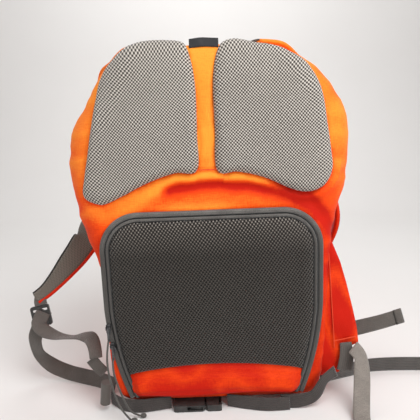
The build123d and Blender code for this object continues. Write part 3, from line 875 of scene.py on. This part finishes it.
bag_mesh = make_bag()
for plane_co, plane_no in (((LID_HALF, 0, 0), (1, 0, 0)), ((-LID_HALF, 0, 0), (1, 0, 0)),
                           ((0, LID_HINGE_Y, 0), (0, 1, 0)), ((0, 0, LID_FRONT_Z), (0, 0, 1))):
    bmesh.ops.bisect_plane(bag_mesh, geom=bag_mesh.verts[:] + bag_mesh.edges[:] + bag_mesh.faces[:],
                           plane_co=plane_co, plane_no=plane_no)
bag_shell = mesh_from(bag_mesh, "bag_shell", lambda p: not in_lid(p))
attach(bag_shell, "bag", "orange_nylon", "base_panel", "back_panel", "front_panel", "side_panel_left",
       "side_panel_right", "door_jamb_left", "door_jamb_right")
bag_lid = mesh_from(bag_mesh, "bag_lid", in_lid)
attach(bag_lid, "lid", "orange_nylon", "lid_panel")


# ---- padded faces on the back ----
def inset_ring(outline, centre, share):
    """An outline drawn in towards a centre."""
    return [(lerp(x, centre[0], share), lerp(s, centre[1], share)) for x, s in outline]


FACE_STEP, FACE_RINGS, FACE_EDGE = 0.0026, 44, 0.0008


def padded_face(name, outline, height, material, surface, crown=0.0, roll=0.16, crease=0.0006):
    """A stuffed panel over an outline: it rises steeply at its edge and crowns in the middle."""
    points = [tuple(p)[:2] for p in resample([(x, s, 0) for x, s in outline], FACE_STEP, closed=True)]
    centre = (sum(x for x, s in points) / len(points), sum(s for x, s in points) / len(points))
    verts, uvs = [], []
    count = len(points)
    for r in range(FACE_RINGS + 1):
        share = (r / FACE_RINGS) ** 1.25 * 0.985
        ring = inset_ring(points, centre, share)
        lift = FACE_EDGE + (height - FACE_EDGE) * (1 - (1 - min(share / roll, 1)) ** 2.4) ** 0.6
        lift += crown * math.sin(min(share, 1) * math.pi / 2) ** 1.3
        for x, s in ring:
            p, normal = surface(x, s)
            wave = crease * noise.noise(Vector((x * 26, s * 26, 2.0))) * smooth(share * 6)
            verts.append(p + normal * (lift + wave))
            uvs.append((x, s))
    faces = grid_faces(FACE_RINGS + 1, count, wrap=True)
    faces.append(tuple(FACE_RINGS * count + c for c in range(count)))
    flip = (verts[1] - verts[0]).cross(verts[count] - verts[0]).y > 0
    if flip:
        faces = [f[::-1] for f in faces]
    return add_object(name, verts, faces, material, uvs)


def close_back(obj, depth):
    """Gives a padded face its hidden underside."""
    shell = obj.modifiers.new("underside", "SOLIDIFY")
    shell.thickness = depth
    shell.offset = -1


THREAD_STEP = 0.002


def stitched_edge(name, outline, surface, lift, radius, material):
    """A cord or row of thread that follows an outline over the cloth."""
    points = []
    for p in resample([(x, s, 0) for x, s in outline], THREAD_STEP):
        at, normal = surface(p.x, p.y)
        points.append(at + normal * lift)
    return tube(name, points, radius, material, sides=6)


PAD_HEIGHT = 0.0105
for side, word in ((-1, "left"), (1, "right")):
    pad = padded_face(f"upper_pad_{word}", PADS[side], PAD_HEIGHT, PAD_MESH, back_frame, crown=0.0035)
    close_back(pad, 0.0015)
    attach(pad, "bag", "pad_mesh", f"upper_pad_mesh_{word}", f"upper_pad_foam_{word}")
    edge = PADS[side] + PADS[side][:1]
    # A dark cord round each pad: the seam, and also a painted shadow line where the pad meets the orange.
    seam = stitched_edge(f"upper_pad_seam_and_shadow_{word}", edge, back_frame, 0.0016, 0.0013, SEAM)
    attach(seam, "bag", "zip_grey")


seam_ends = PADS[-1][0][0], PADS[1][0][0]
seam_line = [(lerp(*seam_ends, i / 12), STRIP_FOOT + 0.001) for i in range(13)]
strip_seam = stitched_edge("centre_strip_seam", seam_line, back_frame, 0.0030, 0.0006, STITCH)
attach(strip_seam, "bag", "orange_nylon")


# ---- door ----
DOOR_PLANE_Y = -0.105


def door_surface(x, s):
    """The flat cloth of the door."""
    return Vector((x, DOOR_PLANE_Y, s)), Vector((0, -1, 0))


DOOR_COVER_INSET = 0.0125
DOOR_SEAM_Z = 0.062
SEAM_STEPS = 30


def seam_height(x):
    """The seam between the mesh and the strip below it, higher in the middle."""
    return DOOR_SEAM_Z + 0.014 * (1 - (x / 0.14) ** 2)


def seam_points(left, right):
    """The points of the seam from its left end to its right."""
    across = [lerp(left, right, i / SEAM_STEPS) for i in range(SEAM_STEPS + 1)]
    return [(x, seam_height(x)) for x in across]


def door_cover_outline():
    """The mesh part of the door: its edge, then back along the seam."""
    side = [(x, s) for x, s in door_side(DOOR_COVER_INSET) if s > seam_height(x) + 0.001]
    return side + seam_points(side[-1][0], side[0][0])


door_cover = padded_face("door_mesh_cover_cloth", door_cover_outline(), 0.009, DOOR_MESH, door_surface,
                         crown=0.003, roll=0.13)
close_back(door_cover, 0.0015)
attach(door_cover, "door", "door_mesh", "door_mesh_cover", "door_foam_pad")


STRIP_PROFILE = [(0.0, 0.0078), (0.10, 0.0102), (0.3, 0.0128), (0.55, 0.0114), (0.8, 0.0074), (1.0, 0.0024)]
STRIP_HEM = 0.0275


def strip_depth(f):
    """How far the plain strip stands out, from its hem (0) to its seam (1)."""
    for (a, low), (b, high) in zip(STRIP_PROFILE, STRIP_PROFILE[1:]):
        if f <= b:
            return lerp(low, high, smooth((f - a) / (b - a)))
    return STRIP_PROFILE[-1][1]


def make_strip():
    """The plain strip below the mesh: puffed cloth that sags over the belt, from the seam to its hem."""
    rows, columns = 30, 150
    bottom_half = DOOR_HALF - DOOR_FOOT - DOOR_COVER_INSET + 0.002
    top_half = DOOR_HALF - 0.019 - DOOR_COVER_INSET + 0.002
    verts = []
    for r in range(rows + 1):
        f = r / rows
        for c in range(columns + 1):
            g = c / columns * 2 - 1
            x = g * lerp(bottom_half, top_half, math.sqrt(f))
            ends = smooth((1 - abs(g)) / 0.10)
            hem = STRIP_HEM + 0.0016 * math.sin(x * 38) * ends - (1 - ends) * 0.002
            s = lerp(hem, seam_height(x) + 0.001, f)
            fold = ridge(Vector((x, 0, s)), (16, 1, 18), 1.7) * 0.0018 * math.sin(math.pi * f)
            out = strip_depth(f) * lerp(0.35, 1, ends) + fold
            verts.append(Vector((x, DOOR_PLANE_Y - max(out, 0.0004), s)))
    return add_object("door_strip_cloth", verts, grid_faces(rows + 1, columns + 1), ORANGE)


strip = make_strip()
# Painted shade on the strip: deep red all over, shaded in its folds and darkest along the hem over the belt.
set_tone_and_shade(strip, lambda p: -0.85 + 0.6 * (ridge(p, (16, 1, 18), 1.7) - 0.5) - 0.9 * bell(p.z - 0.026, 0.006))
close_back(strip, 0.001)
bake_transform(strip)
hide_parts("door_bottom_strip")


def liner_surface(x, s):
    """The inner side of the door's cloth."""
    return Vector((x, DOOR_PLANE_Y + 0.0002, s)), Vector((0, 1, 0))


# The door's lining, seen when the door is open.
door_lining = padded_face("door_lining", door_side(0.0095), 0.0035, LINING, liner_surface, roll=0.03)
attach(door_lining, "door", "orange_lining", "door_liner")


BORDER_STEP = 0.003


def ring_along(name, inset, radius, lift, material, flat=1.0, sides=10):
    """A cord that follows the door's edge at an inset, standing off the cloth."""
    points = [Vector((x, DOOR_PLANE_Y - lift, s)) for x, s in door_side(inset)]
    return tube(name, resample(points, BORDER_STEP), radius, material, sides=sides, flat=flat)


tape = ring_along("door_zip_tape_cloth", 0.0028, 0.0038, 0.0022, ZIP_TAPE, flat=0.75, sides=14)
coil_bed = ring_along("coil_bed", 0.0072, 0.0013, 0.0016, COIL)
door_tape = join("door_zip_tape_cloth", [tape, coil_bed])
attach(door_tape, "bag", "zip_grey", "door_zip_tape")

piping = ring_along("door_piping_cord", 0.0104, 0.0021, 0.0036, ZIP_TAPE)
inner_bead = ring_along("inner_bead", 0.0128, 0.0009, 0.0040, COIL)
piping = join("door_piping_cord", [piping, inner_bead])
attach(piping, "door", "zip_grey", "door_edge_piping")


TOOTH_PITCH, TOOTH_LENGTH, TOOTH_WIDTH, TOOTH_HEIGHT = 0.0015, 0.00042, 0.0014, 0.0006
TOOTH_FACES = ((0, 1, 3, 2), (4, 6, 7, 5), (0, 4, 5, 1), (2, 3, 7, 6), (1, 5, 7, 3))


def make_teeth():
    """The zip's coil: a tooth at every pitch along the tape, narrower at its top."""
    path = resample([Vector((x, DOOR_PLANE_Y - 0.0030, s)) for x, s in door_side(0.0072)], TOOTH_PITCH)
    out = Vector((0, -1, 0))
    verts, faces = [], []
    for before, here, after in zip(path, path[1:], path[2:]):
        along = (after - before).normalized()
        across = along.cross(out).normalized()
        base = len(verts)
        for a, b, c in itertools.product((-1, 1), (-1, 1), (0, 1)):
            taper = 1 - 0.3 * c
            verts.append(here + along * TOOTH_LENGTH * a * taper + across * TOOTH_WIDTH * b * taper
                         + out * TOOTH_HEIGHT * c)
        faces += [tuple(base + k for k in f) for f in TOOTH_FACES]
    return add_object("zip_teeth", verts, faces, COIL)


teeth = make_teeth()
attach(teeth, "bag", "zip_grey")

door_seam = stitched_edge("door_seam_thread", [(-0.138 + 0.276 * i / 40, seam_height(-0.138 + 0.276 * i / 40))
                                               for i in range(41)], door_surface, 0.0012, 0.0011, SEAM)
attach(door_seam, "door", "zip_grey")


# ---- straps and webbing ----
BAND_STEP = 0.004


def band_points(stations):
    """Smooth centres, faces and widths along a strap, from its stations in millimetres."""
    centres = [Vector(c) * MM for c, n, w in stations]
    faces = [Vector(n).normalized() for c, n, w in stations]
    widths = [w * MM for c, n, w in stations]
    out = []
    last = len(stations) - 1
    for i in range(last):
        count = max(int((centres[i + 1] - centres[i]).length / BAND_STEP), 2)
        out += [i + k / count for k in range(count)]
    out.append(last - 1e-6)
    return [(catmull(centres, t), catmull(faces, t).normalized(), catmull(widths, t)) for t in out]


def band_frames(stations):
    """Along a strap: its centre, the way across it, the way out of its face, and its width."""
    samples = band_points(stations)
    frames = []
    for i, (centre, face, width) in enumerate(samples):
        before, after = samples[max(i - 1, 0)][0], samples[min(i + 1, len(samples) - 1)][0]
        along = (after - before).normalized()
        across = along.cross(face).normalized()
        frames.append((centre, across, across.cross(along).normalized(), width))
    return frames


BAND_HALF = 9               # a strap's face has this many columns of quads


def band(name, stations, thickness, material, shift=0.0, crown=0.0):
    """A strap with rounded edges; crown thickens its middle, shift moves it along its face."""
    frames = band_frames(stations)
    columns = [i / BAND_HALF * 2 - 1 for i in range(BAND_HALF + 1)]
    ring = [(g, 1) for g in columns] + [(1 - i / BAND_HALF * 2, -1) for i in range(BAND_HALF + 1)]
    verts, uvs, run = [], [], 0.0
    for i, (centre, across, out, width) in enumerate(frames):
        run += (centre - frames[max(i - 1, 0)][0]).length
        for g, facing in ring:
            fall = 1 - abs(g) ** 8
            height = (thickness / 2 * (0.35 + 0.65 * fall) + crown * (1 - g * g)) * facing + shift
            verts.append(centre + across * g * width / 2 + out * height)
            uvs.append((g * width / 2, run))
    return add_object(name, verts, capped_grid(len(frames), len(ring)), material, uvs)


def strap_edge(name, stations, side, radius, material):
    """A rolled binding along one edge of a strap."""
    points = [centre + across * side * (width / 2 - radius * 0.4)
              for centre, across, out, width in band_frames(stations)]
    return tube(name, points, radius, material, sides=10)


def other_side(stations):
    return [((-c[0], c[1], c[2]), (-n[0], n[1], n[2]), w) for c, n, w in stations]


STRAP_TOP = [
    ((-72, -52, 554), (0, 0, 1), 42), ((-98, -37, 554), (0, 0, 1), 44),
    ((-114, -20, 552), (-0.2, 0, 0.98), 45), ((-131, 2, 547), (-0.41, 0, 0.91), 45),
    ((-153, 33, 540), (-0.55, 0.15, 0.82), 46), ((-168, 66, 519), (-0.6, 0.4, 0.69), 47),
    ((-187, 84, 489), (-0.7, 0.5, 0.5), 48), ((-206, 94, 437), (-0.76, 0.6, 0.2), 50),
    ((-208, 96, 382), (-0.8, 0.6, 0), 52), ((-211, 60, 322), (-0.95, 0.1, 0), 52),
]
STRAP_LEFT = STRAP_TOP + [
    ((-217, 24, 284), (-0.75, -0.65, 0), 50), ((-214, 10, 259), (-0.35, -0.93, 0.1), 48),
    ((-227, 2, 237), (-0.15, -0.98, 0.1), 43), ((-245, -4, 215), (0, -0.98, 0.15), 37),
    ((-265, -10, 192), (0.1, -0.95, 0.3), 29), ((-284, -15, 173), (0.1, -0.9, 0.4), 23),
    ((-301, -20, 161), (0.1, -0.85, 0.5), 21),
]
STRAP_RIGHT = other_side(STRAP_TOP) + [
    ((224, 33, 270), (0.97, -0.2, -0.1), 48), ((210, 42, 218), (0.97, -0.2, -0.2), 36),
    ((193, 47, 172), (0.97, -0.2, -0.2), 27),
]


def strap_tone(p):
    """The strap's cloth: deep red-orange low down, the bag's orange over the shoulders."""
    return lerp(-0.85, 0.5, smooth((p.z - 0.25) / 0.2))


for stations, word, inner in ((STRAP_LEFT, "left", -1), (STRAP_RIGHT, "right", 1)):
    body = f"shoulder_strap_{word}"
    core = band(f"strap_core_{word}", stations, 0.006, ORANGE, shift=-0.0015, crown=0.0005)
    attach(core, body, "orange_nylon", body)
    set_tone_and_shade(core, strap_tone)
    face = band(f"strap_mesh_{word}", [(c, n, w - 5) for c, n, w in stations], 0.003, STRAP_MESH,
                shift=0.0026, crown=0.0009)
    attach(face, body, "strap_mesh", f"strap_mesh_face_{word}")
    for side in (-1, 1):
        outer = side == inner
        roll = strap_edge(f"strap_roll_{word}_{'lower' if outer else 'upper'}", stations, side,
                          0.0034 if outer else 0.0016, ORANGE if outer else SEAM)
        set_tone_and_shade(roll, strap_tone)
        attach(roll, body, "orange_nylon" if outer else "zip_grey")

TIP_LOOPS = {
    "left": [((-292, -20, 168), (0.1, -0.85, 0.5), 20), ((-293, -24, 156), (0.05, -0.95, 0.2), 21),
             ((-292, -24, 150), (0, -1, 0.1), 22)],
    "right": [((193, 47, 178), (0.97, -0.2, -0.2), 21), ((190, 47.5, 165), (1, 0, 0), 22),
              ((188, 48, 150), (1, 0, 0), 22)],
}
for word, stations in TIP_LOOPS.items():
    loop = band(f"strap_tip_loop_{word}", stations, 0.0022, WEBBING)
    attach(loop, f"shoulder_strap_{word}", "webbing_grey")

ADJUSTER, BELT = 25, 22
WEBBINGS = {
    "adjuster_webbing_left": (WEBBING, [
        ((-306, -16.2, 101), (0, -1, 0.1), ADJUSTER), ((-312, -17, 84), (-0.2, -0.97, 0.1), ADJUSTER),
        ((-309, -13, 56), (-0.3, -0.85, 0.4), ADJUSTER), ((-291, -8, 31), (-0.3, -0.7, 0.6), ADJUSTER),
        ((-263, -8, 16), (0, -0.75, 0.6), ADJUSTER), ((-233, -17, 12), (0, -0.85, 0.5), ADJUSTER),
        ((-200, -32, 12), (0, -0.9, 0.4), ADJUSTER), ((-171, -52, 12), (0, -0.9, 0.3), ADJUSTER)]),
    "adjuster_tail_left": (WEBBING, [
        ((-290, -23.5, 137), (0, -1, 0.25), 24), ((-294, -28, 128), (0.1, -0.95, 0.2), 24),
        ((-296, -35, 118), (0.3, -0.9, 0.3), 23), ((-284, -38, 108), (0.2, -0.6, 0.75), 23),
        ((-262, -47, 103), (0, -0.1, 1), 23), ((-238, -57, 105), (0, 0.15, 1), 23),
        ((-215, -66, 111), (0.1, -0.2, 1), 23), ((-198, -78, 112), (0.3, -0.7, 0.6), 23),
        ((-189, -91, 102), (0.6, -0.75, 0.2), 22), ((-186, -99, 88), (0.5, -0.85, 0.1), 20)]),
    "adjuster_webbing_right": (WEBBING, [
        ((187, 48, 112), (1, 0, 0), ADJUSTER), ((192, 40, 70), (1, 0, 0), ADJUSTER),
        ((184, 20, 34), (1, 0.2, 0), ADJUSTER), ((172, 0, 16), (1, 0.2, 0), ADJUSTER)]),
    "adjuster_tail_right": (RIBBED, [
        ((176, -48, 13), (0.3, -1, 0), ADJUSTER), ((229, -31, 13), (0.2, -1, 0), ADJUSTER),
        ((266, -19, 13), (0.1, -1, 0), ADJUSTER), ((316, -17, 13), (0, -1, 0), ADJUSTER),
        ((385, -22, 13), (0, -1, 0), ADJUSTER)]),
    "wing_webbing_right": (WEBBING, [
        ((197, -62, 98), (0, -1, 0), ADJUSTER), ((228, -64, 105), (0, -1, 0.1), ADJUSTER),
        ((266, -67, 115), (0, -1, 0), ADJUSTER), ((303, -68, 126), (0, -1, 0), ADJUSTER)]),
    "corner_webbing_left": (WEBBING, [
        ((-177, -90, 58), (0.2, -1, 0), 18), ((-186, -92, 70), (0.2, -1, 0), 18),
        ((-195, -93, 84), (0.2, -1, 0), 18)]),
    "belt_fold_right": (WEBBING, [
        ((204, -94, 96), (0, -1, 0), 18), ((205, -97, 74), (0, -1, 0.1), 22),
        ((202, -95, 50), (0, -1, -0.1), 24)]),
    "belt_tail_right": (HEATHER_LIT, [
        ((213, -102, 92), (0.2, -0.7, 0.7), ADJUSTER), ((223, -108, 78), (0.4, -0.8, 0.4), ADJUSTER),
        ((222, -119, 52), (0, -0.9, 0.4), ADJUSTER), ((216, -137, 22), (0, -0.8, 0.6), ADJUSTER),
        ((211, -154, 4), (0, -0.4, 0.9), ADJUSTER), ((208, -186, 2), (0, 0, 1), ADJUSTER)]),
    "belt_loop_right": (BELT_GREY_SHADED, [
        ((98, -112, 12), (0, -1, 0), BELT), ((124, -114, 12), (0, -1, 0.1), BELT),
        ((150, -116, 22), (0.2, -1, 0.1), 20), ((166, -114, 46), (0.4, -1, 0), 18),
        ((186, -104, 54), (0.2, -1, 0.2), 18)]),
    "belt_webbing_left": (BELT_GREY_SHADED, [
        ((-171, -85, 12), (-0.5, -0.8, 0), BELT), ((-148, -105, 12), (-0.4, -0.9, 0), BELT),
        ((-122, -112, 12), (0, -1, 0), BELT), ((-98, -109, 12), (0.1, -1, 0), BELT),
        ((-72, -104, 12), (0, -1, 0), 20)]),
    "belt_webbing_right": (BELT_GREY_SHADED, [
        ((16, -104, 12), (0, -1, 0), 20), ((42, -112, 12), (0, -1, 0), BELT),
        ((76, -120, 12), (0, -1, 0), BELT), ((112, -119, 12), (0, -1, 0), BELT)]),
}
WEBBING_THICKNESS = 0.0016
HEM_LENGTH = 13             # the webbing tails are folded back and sewn, in millimetres
STITCH_RADIUS = 0.0005
HEMMED = ("wing_webbing_right", "adjuster_tail_right", "belt_tail_right")
STRAP_BLENDS = {
    "adjuster_webbing_left": ("bag", "shoulder_strap_left", (-0.20, -0.03, 0.012), (-0.309, -0.018, 0.100)),
    "adjuster_tail_left": ("bag", "shoulder_strap_left", (-0.19, -0.09, 0.10), (-0.30, -0.035, 0.119)),
    "adjuster_webbing_right": ("bag", "shoulder_strap_right", (0.172, 0.0, 0.02), (0.187, 0.048, 0.11)),
}
through_lock = band("adjuster_webbing_through_lock", [((-291, -13.5, 136), (0, -1, 0.25), ADJUSTER),
                                                      ((-297, -13.5, 122), (0, -1, 0.2), ADJUSTER),
                                                      ((-303, -15.2, 108), (0, -1, 0.1), ADJUSTER),
                                                      ((-306, -16.2, 101), (0, -1, 0.1), ADJUSTER)],
                    WEBBING_THICKNESS, WEBBING)
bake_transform(through_lock)

def make_hem(node, stations, material):
    """The folded and sewn end of a webbing tail."""
    (low, _, _), (high, face, width) = stations[-2:]
    back = Vector(high) + (Vector(low) - Vector(high)).normalized() * HEM_LENGTH
    folded = [(tuple(back), face, width + 0.4), (high, face, width + 0.4)]
    hem = band(f"{node}_hem", folded, WEBBING_THICKNESS * 2.2, material)
    across = (Vector(high) - back).normalized().cross(Vector(face)).normalized() * width / 2
    front = Vector(face).normalized() * WEBBING_THICKNESS * 1.1 / MM
    stitches = tube(f"{node}_hem_stitches", [(back - across + front) * MM, (back + across + front) * MM],
                    STITCH_RADIUS, SEAM, sides=6)
    return join(f"{node}_hem", [hem, stitches])


for node, (material, stations) in WEBBINGS.items():
    strap = band(f"{node}_cloth", stations, WEBBING_THICKNESS, material)
    if node in STRAP_BLENDS:
        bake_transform(strap)
    else:
        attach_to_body(strap, "belt_male_half" if node == "belt_webbing_right" else "bag")
    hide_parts(node)
    if node in HEMMED:
        attach(make_hem(node, stations, material), "bag", "webbing_grey")


# ---- wings ----
def make_wing_right():
    """The right wing: two layers of cloth sewn along an edge, puffed between."""
    outline = [(0.164, 0.272), (0.180, 0.264), (0.196, 0.225), (0.206, 0.190), (0.216, 0.150), (0.223, 0.118),
               (0.226, 0.092), (0.206, 0.084), (0.201, 0.062), (0.196, 0.043), (0.164, 0.038)]
    return padded_face("hip_wing_right_cloth", outline, 0.004, ORANGE,
                       lambda x, s: (Vector((x, -0.087, s)), Vector((0, -1, 0))), crown=0.001, roll=0.3,
                       crease=0.0035)


wing = make_wing_right()
# Painted shade on the right wing: deep red-orange, with lighter and darker creases.
set_tone_and_shade(wing, lambda p: -1.0 + 1.1 * (ridge(p, (26, 1, 10), 2.2) - 0.4))
close_back(wing, 0.003)
attach(wing, "bag", "orange_nylon", "hip_wing_right")


def wing_seam(name, start, end):
    """A sewn seam on the right wing, between two places given from its low left corner."""
    low = Vector(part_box("hip_wing_right")[0])
    ends = [low + Vector((x, -0.0035, z)) for x, z in (start, end)]
    seam = tube(name, resample(ends, THREAD_STEP), 0.0009, STITCH, sides=6)
    attach(seam, "bag", "orange_nylon")


wing_low, wing_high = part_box("hip_wing_right")
wing_seam("wing_seam_side", (0.012, wing_high[2] - wing_low[2] - 0.012), (0.022, 0.05))
wing_seam("wing_seam_foot", (0.022, 0.062), (wing_high[0] - wing_low[0] - 0.006, 0.068))


def make_wing_left():
    """The left wing, folded back along the side of the bag."""
    outline = [(-0.054, 0.246), (-0.054, 0.056), (0.028, 0.098), (0.032, 0.138)]
    return padded_face("hip_wing_left_cloth", outline, 0.005, ORANGE,
                       lambda y, s: (Vector((-0.1665, y, s)), Vector((-1, 0, 0))), crown=0.001, roll=0.3)


wing_left = make_wing_left()
set_tone_and_shade(wing_left, -0.3)
close_back(wing_left, 0.004)
attach(wing_left, "bag", "orange_nylon", "hip_wing_left")


# ---- hardware carried over from the frame ----
def finish_node(node, material):
    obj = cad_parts[node]
    obj.data.materials.clear()
    obj.data.materials.append(material)


FINISHES = {
    "ladder_lock_left": PLASTIC, "ladder_lock_right": PLASTIC,
    "buckle_female": PLASTIC, "buckle_male": PLASTIC,
    "buckle_prong_near": PLASTIC, "buckle_prong_far": PLASTIC,
    "zip_slider_upper": ZIP_METAL, "zip_slider_lower": ZIP_METAL,
    "zip_puller_upper": ZIP_METAL, "zip_puller_lower": ZIP_METAL,
    "frame_sheet": SHEET, "frame_stay_left": ALUMINIUM, "frame_stay_right": ALUMINIUM,
    "compartment_divider": LINING, "haul_loop": WEBBING, "webbing_roll_left": WEBBING,
    "strap_anchor_left": WEBBING, "strap_anchor_right": WEBBING,
}
for node, material in FINISHES.items():
    finish_node(node, material)

# ---- label ----
LABEL_WIDTH, LABEL_HEIGHT, LABEL_FOOT = 0.041, 0.0125, 0.5425


def make_label():
    """A blank woven label that stands up between the pads, sewn down along its foot."""
    rows, columns = 8, 24
    s = DOOR_TOP
    while back_point(0, s).z < LABEL_FOOT:
        s += 0.0005
    verts = []
    for r in range(rows + 1):
        for c in range(columns + 1):
            across, up = c / columns - 0.5, r / rows
            foot, normal = back_frame(across * LABEL_WIDTH, s)
            sway = Vector((0, 0.003 * up + 0.0012 * math.sin(across * 7) * up, 0.0008 * math.cos(across * 5)))
            verts.append(foot + normal * 0.0035 + UP * LABEL_HEIGHT * up + sway)
    return add_object("blank_label", verts, grid_faces(rows + 1, columns + 1), LABEL)


label = make_label()
close_back(label, 0.0006)
attach(label, "bag", "label_black", "top_label")

# ---- zip cords ----
UPPER_CORD = [
    (-0.1595, -0.118, 0.126), (-0.163, -0.122, 0.106), (-0.162, -0.127, 0.082), (-0.157, -0.129, 0.057),
    (-0.151, -0.131, 0.034), (-0.142, -0.133, 0.016), (-0.131, -0.136, 0.005),
]
LOWER_CORD = [
    (-0.1555, -0.118, 0.095), (-0.156, -0.1205, 0.079), (-0.152, -0.1215, 0.060), (-0.146, -0.122, 0.041),
    (-0.140, -0.1225, 0.023), (-0.132, -0.123, 0.008), (-0.119, -0.124, 0.004),
]
CORD_DIAMETER = 0.003


def make_cord(name, points):
    curve = bpy.data.curves.new(name, "CURVE")
    curve.dimensions = "3D"
    spline = curve.splines.new("NURBS")
    spline.points.add(len(points) - 1)
    for place, point in zip(spline.points, points):
        place.co = (*point, 1)
    spline.order_u = 3
    spline.use_endpoint_u = True
    curve.bevel_depth = CORD_DIAMETER / 2
    curve.bevel_resolution = 4
    curve.materials.append(CORD)
    obj = bpy.data.objects.new(name, curve)
    bpy.context.scene.collection.objects.link(obj)
    return obj


for points, word, length in ((UPPER_CORD, "upper", 0.1304), (LOWER_CORD, "lower", 0.1044)):
    cord = make_cord(f"zip_pull_cord_{word}", points)
    finish_node(f"zip_cord_knot_{word}", CORD)
    attach(cord, f"zip_puller_{word}", "cord_grey", f"zip_cord_{word}")
